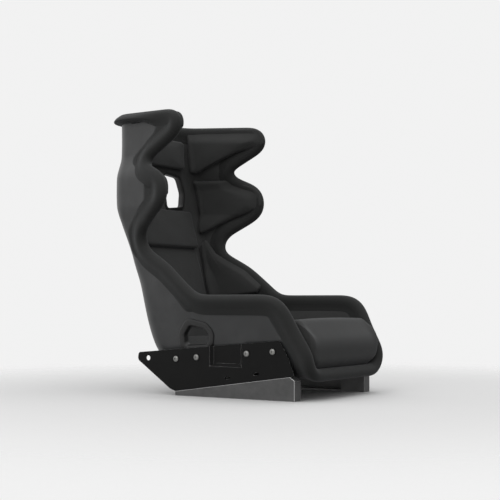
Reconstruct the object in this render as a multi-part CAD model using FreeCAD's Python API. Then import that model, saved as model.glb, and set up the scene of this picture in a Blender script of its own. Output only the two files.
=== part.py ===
"""Fixed-back motorsport seat with head and shoulder wings, on bolted side mounts and wedge rails.

Millimetres. +Z is up and the seat faces -Y, so +X is the occupant's left. The origin is the
centre of the four floor bolts, on the floor. Every piece is written as its own STEP file.
"""

import FreeCAD, Part
import math
import os

from FreeCAD import Vector

# Composite shell, half widths of its back or pan and of its wing ends
SHELL_THICKNESS = 5.0
HEAD_HALF = 187.0
SHOULDER_HALF = 234.0
HIP_HALF = 208.0
PAN_HALF = 200.0
FRONT_HALF = 224.0
HEAD_WING_HALF = 253.0
SHOULDER_WING_HALF = 302.0
HIP_WING_HALF = 263.0
BACK_CORNER_RADIUS = 75.0
WAIST_CORNER_RADIUS = 46.0
PAN_CORNER_RADIUS = 69.0

# Side outline of the shell's edge
EDGE_TOP = 908.0
HEAD_TIP_Y = 215.0
HEAD_TIP_LOW_Z = 864.0
NECK_NOTCH_Y = 395.0
NECK_NOTCH_Z = 763.0
SHOULDER_TIP_Y = 252.0
SHOULDER_TIP_HIGH_Z = 697.0
SHOULDER_TIP_LOW_Z = 634.0
WAIST_NOTCH_Y = 437.0
WAIST_NOTCH_Z = 509.0
HIP_STEP_Y = 265.0
HIP_STEP_Z = 409.0
THIGH_EDGE_Z = 304.0
THIGH_REAR_Y = 138.0
THIGH_FRONT_Y = -175.0
FRONT_EDGE_Y = -262.0
FRONT_EDGE_Z = 138.0

# Fabric cover, padded edge rolls and outer fabric
CLEARANCE = 0.3
SOFT_CLEARANCE = 2.0
COVER_THICKNESS = 12.0
ROLL_RADIUS = 20.0
ROLL_FLANK = 24.0
ROLL_SLOT_CLEARANCE = 1.3
ROLL_SIDE_CLEARANCE = 1.4
BRIM_REACH = 13.0
OUTER_FABRIC_THICKNESS = 4.0

# Pads
HEAD_PAD_THICKNESS = 24.0
WING_PAD_THICKNESS = 22.0
UPPER_PAD_THICKNESS = 30.0
LOWER_PAD_THICKNESS = 11.0
CUSHION_TOP_Z = 248.0
CUSHION_HALF = 211.0
BASE_PAD_TOP_Z = 180.0
BASE_PAD_HALF = 190.0

# Belt openings
SLOT_WALL = 3.0
SLOT_FLANGE = 11.0
SLOT_FLANGE_THICKNESS = 2.5
LAP_FLANGE = 22.0
CROTCH_SLOT_Y = -35.0
CROTCH_SLOT_WIDTH = 90.0
CROTCH_SLOT_LENGTH = 34.0

# Side mounts and wedge rails
MOUNT_GAP = 4.6
MOUNT_THICKNESS = 3.0
MOUNT_FRONT_Y = -173.0
MOUNT_FRONT_TOP_Z = 183.0
MOUNT_REAR_Y = 373.0
MOUNT_REAR_TOP_Z = 136.0
MOUNT_REAR_HOLE_RADIUS = 8.5
RECESS_DEPTH = 9.0
RECESS_FRONT_Y = -35.0
RECESS_REAR_Y = 87.0
RECESS_LOW_Z = 98.0
RAIL_WIDTH = 38.0
RAIL_FRONT_Y = -225.0
RAIL_REAR_Y = 223.0
RAIL_FRONT_HEIGHT = 74.0
RAIL_REAR_HEIGHT = 14.0
RAIL_NOSE = 16.0
RAIL_WALL = 6.0
FLOOR_BOLT_SPACING_Y = 300.0
FLOOR_HOLE_RADIUS = 4.25
FLOOR_HOLE_DEPTH = 12.0

# Screws
SCREW_RADIUS = 4.0
SCREW_HEAD_RADIUS = 10.0
SCREW_HEAD_HEIGHT = 5.5
HEX_SOCKET = 5.0
SPACER_ACROSS = 18.0

RIGHT, LEFT = -1, 1
FAR = 400.0
BEHIND = 700.0

# Flat steps round a corner of the bucket, and the spans between stations that twist and are halved
CORNER_FACETS = 6
EDGE_STEP_ANGLE = 0.66
EDGE_STEP_LENGTH = 80.0
HALVED_SPANS = (0, 4, 5, 6, 7, 8, 11, 12)

# Outlines in side view (y, z, corner radius) and from the front (x, z, corner radius)
MOUNT_BOLTS = [(219.0, 118.0), (138.0, 125.0), (-53.0, 141.0), (-148.0, 149.0)]
HEAD_WING_PAD = [(450, 880, 12), (240, 880, 8), (398, 792, 18), (450, 784, 12)]
SHOULDER_WING_PAD = [(447, 744, 14), (404, 736, 30), (279, 679, 24), (279, 649, 22), (440, 548, 16)]
HIP_WING_PAD = [
    (412, 466, 14), (282, 386, 40), (228, 341, 14),
    (238, 322, 12), (362, 312, 16), (396, 420, 60),
]
BELT_SLOT = [(58, 637, 12), (148, 646, 14), (156, 698, 30), (134, 752, 22), (42, 760, 14)]
LAP_OPENING = [
    (197, 161, 12), (197, 197, 16), (171, 228, 16),
    (113, 217, 18), (97, 198, 14), (107, 166, 14),
]


def mix(a, b, share):
    return a + (b - a) * share


def stations():
    """Cross-sections from head to knees: back y z, wing end y z, half widths, corner radius."""
    head, shoulder, hip, pan, front = HEAD_HALF, SHOULDER_HALF, HIP_HALF, PAN_HALF, FRONT_HALF
    head_wing, shoulder_wing, hip_wing = HEAD_WING_HALF, SHOULDER_WING_HALF, HIP_WING_HALF
    back, waist, low = BACK_CORNER_RADIUS, WAIST_CORNER_RADIUS, PAN_CORNER_RADIUS
    front_y = FRONT_EDGE_Y
    return [
        (518, 940, 189, 940, head, head_wing, back - 5),
        (508, 795, 187, 790, mix(head, shoulder, 0.25), mix(head_wing, shoulder_wing, 0.31), back - 3),
        (504, 712, 202, 700, mix(head, shoulder, 0.92), mix(head_wing, shoulder_wing, 0.93), back + 2),
        (500, 628, 207, 612, shoulder, shoulder_wing - 2, back + 5),
        (483, 569, 203, 550, mix(shoulder, hip, 0.62), mix(shoulder_wing, hip_wing, 0.48), waist),
        (441, 447, 179, 438, hip - 2, mix(shoulder_wing, hip_wing, 0.97), waist),
        (415, 355, 150, 378, hip, hip_wing, back),
        (385, 240, 105, 352, hip, hip_wing, back - 3),
        (354, 155, 70, 351, mix(hip, pan, 0.5), hip_wing, low + 1),
        (310, 99, 45, 350, mix(hip, pan, 0.9), hip_wing, low),
        (240, 68, 12, 350, pan, hip_wing, low),
        (50, 55, -65, 350, pan, hip_wing, low),
        (-120, 62, -150, 350, mix(pan, front, 0.45), hip_wing + 1, low - 4),
        (front_y, 77, front_y, 350, front, hip_wing + 4, low - 12),
    ]


def edge_profile():
    """The shell's edge in side view: y, z, corner radius."""
    return [
        (BEHIND, EDGE_TOP, 0),
        (HEAD_TIP_Y, EDGE_TOP, 28),
        (HEAD_TIP_Y - 2, HEAD_TIP_LOW_Z, 26),
        (NECK_NOTCH_Y, NECK_NOTCH_Z, 35),
        (SHOULDER_TIP_Y, SHOULDER_TIP_HIGH_Z, 48),
        (SHOULDER_TIP_Y, SHOULDER_TIP_LOW_Z, 40),
        (WAIST_NOTCH_Y, WAIST_NOTCH_Z, 62),
        (HIP_STEP_Y, HIP_STEP_Z, 100),
        (THIGH_REAR_Y, THIGH_EDGE_Z, 90),
        (THIGH_FRONT_Y, THIGH_EDGE_Z, 75),
        (FRONT_EDGE_Y, FRONT_EDGE_Z, 40),
        (FRONT_EDGE_Y, -60.0, 0),
    ]


def fabric_profile():
    """Where the fabric on the outside of the wings ends, in side view."""
    return [
        (309.0, 1000.0, 0),
        (309.0, 868.0, 50),
        (428.0, 775.0, 20),
        (330.0, 703.0, 50),
        (329.0, 634.0, 20),
        (437.0, 545.0, 35),
        (430.0, 462.0, 45),
        (300.0, 398.0, 70),
        (180.0, 269.0, 30),
        (-122.0, 278.0, 45),
        (MOUNT_FRONT_Y - 7, MOUNT_FRONT_TOP_Z, 20),
        (MOUNT_FRONT_Y - 40, MOUNT_FRONT_TOP_Z - 56, 30),
        (FRONT_EDGE_Y + 20, MOUNT_FRONT_TOP_Z - 87, 5),
        (FRONT_EDGE_Y + 20, -60.0, 0),
    ]


# Outlines from lines and corner arcs


def corner(a, b, c):
    """Start, middle and end of the arc of radius b[2] in the corner at b."""
    ax, ay = a[0] - b[0], a[1] - b[1]
    cx, cy = c[0] - b[0], c[1] - b[1]
    la, lc = math.hypot(ax, ay), math.hypot(cx, cy)
    ax, ay, cx, cy = ax / la, ay / la, cx / lc, cy / lc
    half = math.acos(max(-1.0, min(1.0, ax * cx + ay * cy))) / 2
    tangent = b[2] / math.tan(half)
    bx, by = ax + cx, ay + cy
    length = math.hypot(bx, by)
    reach = b[2] / math.sin(half) - b[2]
    start = (b[0] + ax * tangent, b[1] + ay * tangent)
    middle = (b[0] + bx / length * reach, b[1] + by / length * reach)
    return start, middle, (b[0] + cx * tangent, b[1] + cy * tangent)


def segment(a, b, place):
    return Part.LineSegment(place(*a[:2]), place(*b[:2])).toShape()


def closed_wire(points, place):
    """A closed outline; place turns two numbers into a Vector. Radius 0 leaves a sharp corner."""
    count = len(points)
    stops = []
    for i, point in enumerate(points):
        if point[2] > 0:
            stops.append(corner(points[i - 1], point, points[(i + 1) % count]))
        else:
            stops.append((point[:2],))
    edges = []
    for i, stop in enumerate(stops):
        if len(stop) == 3:
            edges.append(Part.Arc(*[place(*p) for p in stop]).toShape())
        following = stops[(i + 1) % count][0]
        if math.dist(stop[-1], following) > 1e-6:
            edges.append(segment(stop[-1], following, place))
    return Part.Wire(edges)


def corner_turn(a, b, c):
    """Signed angle between the line that arrives at b and the line that leaves it."""
    turn = math.atan2(c[1] - b[1], c[0] - b[0]) - math.atan2(b[1] - a[1], b[0] - a[0])
    return math.remainder(turn, 2 * math.pi)


def corner_steps(a, b, c):
    return max(2, round(abs(corner_turn(a, b, c)) / EDGE_STEP_ANGLE))


def outline_points(points, place, parts=2, sharp=5.0):
    """A closed outline as points, each corner rounder than sharp in some steps; 0 lets its turn say."""
    made = []
    for i, point in enumerate(points):
        if point[2] == 0:
            made.append(place(*point[:2]))
            continue
        trio = points[i - 1], point, points[(i + 1) % len(points)]
        arc = Part.Arc(*[Vector(*p, 0) for p in corner(*trio)]).toShape()
        steps = 1 if point[2] <= sharp else parts or corner_steps(*trio)
        made += [place(p.x, p.y) for p in arc.discretize(steps + 1)]
    return made


def crossing(a, b, c, d):
    """Where the line through a and b meets the line through c and d."""
    ux, uy, vx, vy = b[0] - a[0], b[1] - a[1], d[0] - c[0], d[1] - c[1]
    run = ((c[0] - a[0]) * vy - (c[1] - a[1]) * vx) / (ux * vy - uy * vx)
    return a[0] + ux * run, a[1] + uy * run


def moved_lines(points, shift, closed):
    """The outline with every line moved to its left by shift; a line that this uses up is left out."""
    count = len(points)
    sides = count if closed else count - 1
    lines = []
    for i in range(sides):
        a, b = points[i], points[(i + 1) % count]
        length = math.dist(a[:2], b[:2])
        x, y = (a[1] - b[1]) * shift / length, (b[0] - a[0]) * shift / length
        lines.append(((a[0] + x, a[1] + y), (b[0] + x, b[1] + y)))
    moved = []
    for i, point in enumerate(points):
        if not closed and i in (0, count - 1):
            moved.append((*lines[0 if i == 0 else -1][0 if i == 0 else 1], 0))
            continue
        (a, b), (c, d) = lines[i - 1], lines[i % sides]
        turn = (b[0] - a[0]) * (d[1] - c[1]) - (b[1] - a[1]) * (d[0] - c[0])
        radius = point[2] + (-shift if turn > 0 else shift)
        moved.append((*crossing(a, b, c, d), max(radius, 2.0)))
    for i in range(0 if closed else 1, sides if closed else sides - 1):
        j = (i + 1) % count
        a, b = lines[i]
        if (moved[j][0] - moved[i][0]) * (b[0] - a[0]) + (moved[j][1] - moved[i][1]) * (b[1] - a[1]) < 0:
            meet = crossing(points[i - 1], points[i], points[j], points[(j + 1) % count])
            joined = (*meet, max(points[i][2], points[j][2]))
            rest = [joined if k == i else point for k, point in enumerate(points) if k != j]
            return moved_lines(rest, shift, closed)
    return moved


def along_x(wire, x0=-FAR, x1=FAR):
    wire.translate(Vector(x0, 0, 0))
    return Part.Face(wire).extrude(Vector(x1 - x0, 0, 0))


def behind(points):
    """Everything behind and below an open side outline, across the seat's whole width."""
    ends = [(BEHIND, points[-1][1], 0)]
    if points[0][0] < BEHIND:
        ends.append((BEHIND, points[0][1], 0))
    outline = outline_points(list(points) + ends, lambda y, z: Vector(-FAR, y, z), 0)
    return flat_face(*outline).extrude(Vector(2 * FAR, 0, 0))


def inside_edge(inset):
    return behind(moved_lines(edge_profile(), inset, False))


def box(x0, x1, y0, y1, z0, z1):
    return Part.makeBox(x1 - x0, y1 - y0, z1 - z0, Vector(x0, y0, z0))


def flip(shape):
    return shape.mirror(Vector(0, 0, 0), Vector(1, 0, 0))


# The bucket's skin, ruled from station to station


def half_section(index, distance):
    """Line, arc, line on the left half at one station, moved outward from the base skin."""
    rows = stations()
    y, z, end_y, end_z, half, wing, radius = rows[index]
    before, after = rows[max(index - 1, 0)], rows[min(index + 1, len(rows) - 1)]
    origin = Vector(0, y, z)
    inward = Vector(0, end_y - y, end_z - z)
    depth = inward.Length
    inward.normalize()
    normal = Vector(1, 0, 0).cross(Vector(0, after[0] - before[0], after[1] - before[1]))
    back_shift = distance / abs(normal.normalize().dot(inward))
    wall = Vector(wing - half, 0, 0) + inward * depth
    wall.normalize()
    rise, lean = wall.dot(inward), wall.x
    middle = [Vector((r[4] + r[5]) / 2, (r[0] + r[2]) / 2, (r[1] + r[3]) / 2) for r in (before, after)]
    normal = wall.cross(middle[1] - middle[0]).normalize()
    wall_shift = distance / abs(normal.dot(Vector(rise, 0, 0) - inward * lean))
    vertex = half + rise * wall_shift + lean * (lean * wall_shift - back_shift) / rise
    turn = math.atan2(rise, lean)
    rounding = radius + (back_shift + wall_shift) / 2
    tangent = rounding * math.tan(turn / 2)
    reach = rounding / math.cos(turn / 2) - rounding
    angle = (math.pi + turn) / 2
    flat = [
        (vertex - tangent, -back_shift),
        (vertex + reach * math.cos(angle), -back_shift + reach * math.sin(angle)),
        (vertex + tangent * math.cos(turn), -back_shift + tangent * math.sin(turn)),
        (wing + rise * wall_shift, depth - lean * wall_shift),
    ]
    return [origin + Vector(x, 0, 0) + inward * k for x, k in flat]


def half_outline(place, distance):
    """Points from the middle of the back round the left corner to the wing's end."""
    index = min(int(place), len(stations()) - 2)
    runs = []
    for i in (index, index + 1):
        back, middle, foot, end = half_section(i, distance)
        arc = Part.Arc(back, middle, foot).toShape().discretize(CORNER_FACETS + 1)
        runs.append(arc + [(foot + end) * 0.5, end])
    return [a + (b - a) * (place - index) for a, b in zip(*runs)]


def full_outline(place, distance):
    """The same points from the right wing's end to the left wing's end."""
    left = half_outline(place, distance)
    return [Vector(-p.x, p.y, p.z) for p in reversed(left)] + left


def flat_face(*points):
    return Part.Face(Part.makePolygon(list(points) + [points[0]]))


def facets(rows):
    """Flat faces between rows of points, split alike on the left and the right."""
    faces = []
    for near, far in zip(rows, rows[1:]):
        for i in range(len(near) - 1):
            a, b, c, d = near[i], near[i + 1], far[i + 1], far[i]
            middle = (a + b + c + d).x
            if abs(middle) < 1e-6:
                faces.append(flat_face(a, b, c, d))
            elif middle > 0:
                faces += [flat_face(a, b, c), flat_face(a, c, d)]
            else:
                faces += [flat_face(a, b, d), flat_face(b, c, d)]
    return faces


def solid_of(faces):
    shell = Part.makeShell(faces)
    shell.sewShape()
    solid = Part.makeSolid(shell)
    if solid.Volume < 0:
        solid.reverse()
    return solid


def facet_loft(loops):
    """Solid through closed loops of points, with the first and last loops filled."""
    faces = facets([loop + loop[:1] for loop in loops])
    return solid_of(faces + [flat_face(*loops[0]), flat_face(*loops[-1])])


def layer(inner, outer, first=0, last=None):
    """Solid between two distances from the base skin; outward is positive."""
    last = len(stations()) - 1 if last is None else last
    places = []
    for index in range(first, last):
        places += [index, index + 0.5] if index in HALVED_SPANS else [index]
    places.append(last)
    near = [full_outline(place, inner) for place in places]
    far = [full_outline(place, outer) for place in places]
    faces = facets(near) + facets(far)
    for side in (0, -1):
        faces += facets([[row[side] for row in near], [row[side] for row in far]])
    for end in (0, -1):
        faces.append(flat_face(*near[end], *reversed(far[end])))
    return solid_of(faces)


def station_point(index, along, distance):
    """A point on a station: 0 to 1 along the back, 1 to 2 round the corner, 2 to 3 up the wing."""
    back, middle, foot, end = half_section(index, distance)
    if along <= 1:
        return Vector(back.x * along, back.y, back.z)
    if along >= 2:
        return foot + (end - foot) * (along - 2)
    arc = Part.Arc(back, middle, foot)
    return arc.value(mix(arc.FirstParameter, arc.LastParameter, along - 1))


def skin_point(place, along, distance=0.0):
    """Place counts stations from the head, with fractions for points between them."""
    index = min(max(int(place), 0), len(stations()) - 2)
    a = station_point(index, along, distance)
    b = station_point(index + 1, along, distance)
    return a + (b - a) * (place - index)


def skin_normal(place, along):
    step = 0.01
    low, high = max(along - step, 0.0), min(along + step, 3.0)
    across = skin_point(place, high) - skin_point(place, low)
    down = skin_point(place + step, along) - skin_point(place - step, along)
    normal = across.cross(down)
    return normal.normalize()


def find_on_wing(y, z):
    """Place and along of the skin point that side view shows at y, z."""
    best = None
    for place in range(len(stations())):
        for tenth in range(10, 31, 2):
            point = skin_point(place, tenth / 10)
            gap = math.hypot(point.y - y, point.z - z)
            if best is None or gap < best[0]:
                best = (gap, place, tenth / 10)
    place, along = max(best[1], 0.02), best[2]
    for _ in range(12):
        point = skin_point(place, along)
        d_place = (skin_point(place + 0.01, along) - point) * 100
        d_along = (skin_point(place, along + 0.01) - point) * 100
        det = d_place.y * d_along.z - d_place.z * d_along.y
        miss_y, miss_z = y - point.y, z - point.z
        place += (miss_y * d_along.z - miss_z * d_along.y) / det
        along += (d_place.y * miss_z - d_place.z * miss_y) / det
    return place, along


def find_place(along, axis, value, low, high):
    """Place at which the skin reaches a value of y or z, by halving."""
    rising = getattr(skin_point(high, along), axis) > getattr(skin_point(low, along), axis)
    for _ in range(40):
        mid = (low + high) / 2
        if (getattr(skin_point(mid, along), axis) < value) == rising:
            low = mid
        else:
            high = mid
    return (low + high) / 2


def wing_x(y, z, distance):
    place, along = find_on_wing(y, z)
    return skin_point(place, along, distance).x


# Padded edge


def edge_stops():
    """Points and turns along the edge profile in side view: y, z and its outward direction."""
    profile = edge_profile()
    stops = []
    for a, b, c in zip(profile, profile[1:], profile[2:]):
        start = corner(a, b, c)[0]
        leave = Vector(b[0] - a[0], b[1] - a[1], 0).normalize()
        turn, steps = corner_turn(a, b, c), corner_steps(a, b, c)
        if stops:
            gap = math.dist(stops[-1][0], start)
            spans = int(gap / EDGE_STEP_LENGTH) + 1
            for i in range(1, spans):
                share = i / spans
                point = (mix(stops[-1][0][0], start[0], share), mix(stops[-1][0][1], start[1], share))
                stops.append((point, leave))
        toward = Vector(-leave.y, leave.x, 0) * math.copysign(b[2], turn)
        centre = Vector(start[0], start[1], 0) + toward
        for i in range(steps + 1):
            angle = turn * i / steps
            cos, sin = math.cos(angle), math.sin(angle)
            arm = Vector(-toward.x * cos + toward.y * sin, -toward.x * sin - toward.y * cos, 0)
            heading = Vector(leave.x * cos - leave.y * sin, leave.x * sin + leave.y * cos, 0)
            stops.append(((centre.x + arm.x, centre.y + arm.y), heading))
    return stops


def edge_frame(place, along, outward):
    normal = skin_normal(place, along)
    beside = outward - normal * outward.dot(normal)
    return skin_point(place, along), beside.normalize(), normal


def roll_section(frame, brim=0.0):
    """Closed section of the padded edge; brim from 0 to 1 turns its outer half into the brim."""
    point, beside, normal = frame
    r, flank, gap = ROLL_RADIUS, ROLL_FLANK, ROLL_SLOT_CLEARANCE
    inner, outer = -COVER_THICKNESS - 1.0, SHELL_THICKNESS + OUTER_FABRIC_THICKNESS
    slot = SHELL_THICKNESS + gap
    reach = r + BRIM_REACH
    angles = [math.radians(22.5 * i) for i in range(5)]
    flat = [(-flank, inner)] + [(r * math.sin(a), -r * math.cos(a)) for a in angles]
    plain = [(r * math.cos(a), r * math.sin(a)) for a in angles[1:]]
    plain += [(-0.35 * flank, 0.82 * r), (-0.7 * flank, 0.62 * r)]
    lip = [(0.94 * r, 0.6 * r), (0.72 * r, reach - 8), (0.3 * r, reach - 1), (-0.2 * r, reach),
           (-0.5 * r, reach - 5), (-0.62 * r, reach - 13)]
    flat += [(mix(p[0], q[0], brim), mix(p[1], q[1], brim)) for p, q in zip(plain, lip)]
    flat += [(-flank, outer), (-flank, slot), (gap, slot), (gap, -gap), (-flank, -gap)]
    return [point + beside * x + normal * y for x, y in flat]


def side_frames():
    """Frames down the left edge, from the head wing's tip to the front corner of the pan."""
    frames = []
    for (y, z), heading in edge_stops():
        place, along = find_on_wing(y, z)
        frames.append(edge_frame(place, along, Vector(0, heading.y, -heading.x)))
    return frames


def head_frames():
    """Frames from the middle of the back to the head wing's tip."""
    frames = []
    start = edge_stops()[0][0]
    last = find_on_wing(*start)[1]
    for along in (0.0, 1.0, 1.2, 1.4, 1.6, 1.8, 2.0, mix(2, last, 0.3), mix(2, last, 0.65), last):
        place = find_place(along, "z", EDGE_TOP, 0.0, 1.0)
        frames.append(edge_frame(place, along, Vector(0, 0, 1)))
    return frames


def front_frames():
    """Frames from the front corner of the pan to its middle."""
    frames = []
    y, z = edge_stops()[-1][0]
    first = find_on_wing(y, z)[1]
    last = len(stations()) - 1.0
    for along in (first, mix(first, 1.0, 0.25), mix(first, 1.0, 0.5), mix(first, 1.0, 0.75), 1.0, 0.0):
        place = find_place(along, "y", FRONT_EDGE_Y, last - 3, last)
        frames.append(edge_frame(place, along, Vector(0, -1, 0)))
    return frames


def mirrored(frame):
    return tuple(Vector(-v.x, v.y, v.z) for v in frame)


def both_sides(frames):
    """Frames from the middle outward, made into one run across the seat."""
    return [mirrored(f) for f in reversed(frames[1:])] + frames


def roll(frames, brims=None):
    return facet_loft([roll_section(f, brims[i] if brims else 0.0) for i, f in enumerate(frames)])


def edge_rolls():
    head = both_sides(head_frames())
    tip, rear = HEAD_TIP_Y + 60.0, HEAD_TIP_Y + 160.0
    brims = [min(1.0, max(0.0, (f[0].y - tip) / (rear - tip))) for f in head]
    left = roll(side_frames())
    return {
        "head_edge_roll": roll(head, brims),
        "edge_roll_left": left,
        "edge_roll_right": flip(left),
        "front_edge_roll": roll(both_sides(list(reversed(front_frames())))),
    }


# Pads


def signed_area(points):
    following = points[1:] + points[:1]
    return sum(a[0] * b[1] - b[0] * a[1] for a, b in zip(points, following)) / 2


def grown(points, grow):
    """A closed outline made larger all round."""
    return moved_lines(points, -grow if signed_area(points) > 0 else grow, True)


def wing_plane(points, distance):
    """Flat base for a piece on a wing: just clear of the skin at every point of its outline."""
    centre = [sum(p[i] for p in points) / len(points) for i in (0, 1)]
    normal = skin_normal(*find_on_wing(*centre))
    foot = Vector(wing_x(*centre, distance), *centre)
    lifts = []
    for y, z, _ in points:
        corner_point = Vector(wing_x(y, z, distance), y, z)
        lifts.append((corner_point - foot).dot(normal) * (-1 if distance < 0 else 1))
    lift = max(0.0, *lifts)

    def at(y, z, rise):
        along = normal.y * (y - foot.y) + normal.z * (z - foot.z)
        height = lift + rise
        return Vector(foot.x - (along + (height if distance < 0 else -height)) / normal.x, y, z)

    return at


def wing_pad(points, first, last):
    """Pillow on a wing between two stations: it follows the cover, and its sides draw in to the crown."""
    base = -COVER_THICKNESS - 2 * CLEARANCE
    thick = WING_PAD_THICKNESS
    sides = []
    for level, grow in ((0.0, -3.0), (0.6, 0.0), (1.0, -9.0)):
        distance = base - level * thick
        outline = grown(points, grow)
        sides.append(outline_points(outline, lambda y, z: Vector(wing_x(y, z, distance), y, z), 2, 0.0))
    outboard = [Vector(FAR, p.y, p.z) for p in sides[0]]
    inboard = [Vector(min(q.x for q in sides[-1]) - 6, p.y, p.z) for p in sides[-1]]
    return layer(base - thick, base, first, last).common(facet_loft([outboard] + sides + [inboard]))


def spine_point(z, rise):
    """Point on the cover in the middle of the back, at a height, raised by a thickness."""
    place = find_place(0.0, "z", z, 0.0, 8.0)
    return skin_point(place, 0.0, -COVER_THICKNESS - 2 * CLEARANCE - rise)


def back_pad(low, high, half, thickness):
    """Pad up the back: its base follows the stations, its ends and sides draw in to the crown."""
    heights = [row[1] for row in reversed(stations()[1:7]) if low + 20 < row[1] < high - 20]
    sections = []
    for x, lift_share, shrink_share in ((half, 0.21, 0.36), (half - 10, 0.07, 0.11), (half - 28, 0.0, 0.0)):
        lift, shrink = lift_share * thickness, shrink_share * thickness
        inner = thickness - shrink
        middle = (lift + inner) / 2
        base = [spine_point(z, lift) for z in (low + shrink, *heights, high - shrink)]
        front = [spine_point(z, inner) for z in (high - shrink - 8, *reversed(heights), low + shrink + 8)]
        top_end = spine_point(high - shrink + 2, middle)
        low_end = spine_point(low + shrink - 2, middle)
        sections.append((x, base + [top_end] + front + [low_end]))
    sections = [(-x, outline) for x, outline in sections] + list(reversed(sections))
    return facet_loft([[Vector(x, p.y, p.z) for p in outline] for x, outline in sections])


def pan_rise(x, y):
    """Height of the cover over the pan at x, y, up its rounded corner and the wall beside it."""
    last = len(stations()) - 1.0
    low, high = 0.0, 2.9
    place = 0.0
    for _ in range(14):
        along = (low + high) / 2
        place = find_place(along, "y", y, 9.0, last)
        if skin_point(place, along, -COVER_THICKNESS - CLEARANCE).x < abs(x):
            low = along
        else:
            high = along
    return skin_point(place, high, -COVER_THICKNESS - CLEARANCE).z


def pan_pad(outline, half):
    """Pad across the pan: outline gives side sections whose base rises with the pan's corners."""
    sections = [(half, 9.0), (half - 9, 2.0), (0.9 * half - 8, 0.0), (0.8 * half, 0.0), (0.66 * half, -2.0)]
    sections = [(-x, shrink) for x, shrink in sections] + list(reversed(sections))
    loops = []
    for x, shrink in sections:
        loops.append(outline_points(outline(x, shrink), lambda y, z: Vector(x, y, z)))
    return facet_loft(loops)


def cushion_outline(x, shrink):
    """Side section of the front cushion, from the front lip up to the crest and down to the slot."""
    top = CUSHION_TOP_Z - shrink
    rear = CROTCH_SLOT_Y - CROTCH_SLOT_LENGTH / 2 - SLOT_FLANGE - SOFT_CLEARANCE - shrink
    front = FRONT_EDGE_Y + shrink
    lip = FRONT_EDGE_Y + ROLL_FLANK
    low, middle = pan_rise(x, lip) + SOFT_CLEARANCE, stations()[-2][0]
    return [
        (front - 12, low + ROLL_RADIUS + 2, 8), (front - 16, mix(low + ROLL_RADIUS, top, 0.42), 50),
        (front + 42, top, 36), (front + 116, top - 10, 60), (rear, top - 48, 20),
        (rear, pan_rise(x, rear) + SOFT_CLEARANCE, 0), (middle, pan_rise(x, middle) + SOFT_CLEARANCE, 0),
        (lip, low, 3),
    ]


def base_pad_outline(x, shrink):
    """Side section of the pad behind the slot, up into the bend of the hips."""
    top = BASE_PAD_TOP_Z - shrink
    front = CROTCH_SLOT_Y + CROTCH_SLOT_LENGTH / 2 + SLOT_FLANGE + SOFT_CLEARANCE + shrink
    low = pan_rise(x, front) + SOFT_CLEARANCE / 2
    lift = low - pan_rise(0, front)
    return [
        (front, low, 2), (front, top, 20), (150, top - 44, 90), (262, top - 26, 60),
        (316 - shrink - 0.4 * lift, top + 12, 8), (316 - 0.4 * lift, 150 + 0.3 * lift, 3),
        (282 - 0.3 * lift, 110 + 0.8 * lift, 3), (225, pan_rise(0, 225) + 8 + lift, 3),
    ]


def pads():
    head = wing_pad(HEAD_WING_PAD, 0, 2)
    shoulder = wing_pad(SHOULDER_WING_PAD, 1, 5)
    hip = wing_pad(HIP_WING_PAD, 4, 8)
    below_slots = BELT_SLOT[0][1] - SLOT_FLANGE - SOFT_CLEARANCE
    return {
        "head_pad_center": back_pad(782.0, 881.0, 150.0, HEAD_PAD_THICKNESS),
        "upper_back_pad": back_pad(491.0, below_slots, 178.0, UPPER_PAD_THICKNESS),
        "lower_back_pad": back_pad(215.0, 486.0, 160.0, LOWER_PAD_THICKNESS),
        "head_pad_left": head,
        "head_pad_right": flip(head),
        "shoulder_pad_left": shoulder,
        "shoulder_pad_right": flip(shoulder),
        "hip_pad_left": hip,
        "hip_pad_right": flip(hip),
        "seat_cushion": pan_pad(cushion_outline, CUSHION_HALF),
        "seat_base_pad": pan_pad(base_pad_outline, BASE_PAD_HALF),
    }


# Belt openings


def belt_block(grow, side=LEFT):
    points = [(side * x, z, r) for x, z, r in grown(BELT_SLOT, grow)]
    outline = outline_points(points, lambda x, z: Vector(x, 380, z), 4)
    return flat_face(*outline).extrude(Vector(0, 200, 0))


def lap_block(grow, side=LEFT):
    outline = outline_points(grown(LAP_OPENING, grow), lambda y, z: Vector(side * 150, y, z), 4)
    return flat_face(*outline).extrude(Vector(side * 150, 0, 0))


def crotch_block(grow):
    half, run = CROTCH_SLOT_WIDTH / 2 + grow, CROTCH_SLOT_LENGTH / 2 + grow
    radius = CROTCH_SLOT_LENGTH * 0.4 + grow
    points = [(-half, -run, radius), (half, -run, radius), (half, run, radius), (-half, run, radius)]
    outline = outline_points(points, lambda x, y: Vector(x, CROTCH_SLOT_Y + y, 0), 4)
    return flat_face(*outline).extrude(Vector(0, 0, 130))


def slot_trim(block, inner, outer, first, last):
    """Sleeve through the wall with a flange on each face, following the skin."""
    thick = SLOT_FLANGE_THICKNESS
    trim = layer(inner - thick, outer + thick, first, last).common(block(SLOT_WALL))
    for low, high in ((inner - thick, inner), (outer, outer + thick)):
        trim = trim.fuse(layer(low, high, first, last).common(block(SLOT_FLANGE)))
    return trim.cut(block(0)).removeSplitter()


def lap_bezel():
    """Ring round the lap belt opening, flat outside, with a sleeve through the wall."""
    points = grown(LAP_OPENING, LAP_FLANGE)
    at = wing_plane(points, SHELL_THICKNESS + 2 * CLEARANCE)
    thick = SLOT_FLANGE_THICKNESS

    def block(outline, low):
        return facet_loft([outline_points(outline, lambda y, z: at(y, z, rise), 4) for rise in (low, thick)])

    sleeve = block(grown(LAP_OPENING, SLOT_WALL), -30.0)
    return block(points, 0.0).fuse(sleeve).cut(lap_block(0)).removeSplitter()


def openings(shape):
    """Cuts the belt openings, with room for their sleeves."""
    room = SLOT_WALL + CLEARANCE
    cuts = [crotch_block(room)]
    for side in (LEFT, RIGHT):
        cuts += [belt_block(room, side), lap_block(room, side)]
    return shape.cut(Part.makeCompound(cuts))


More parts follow.
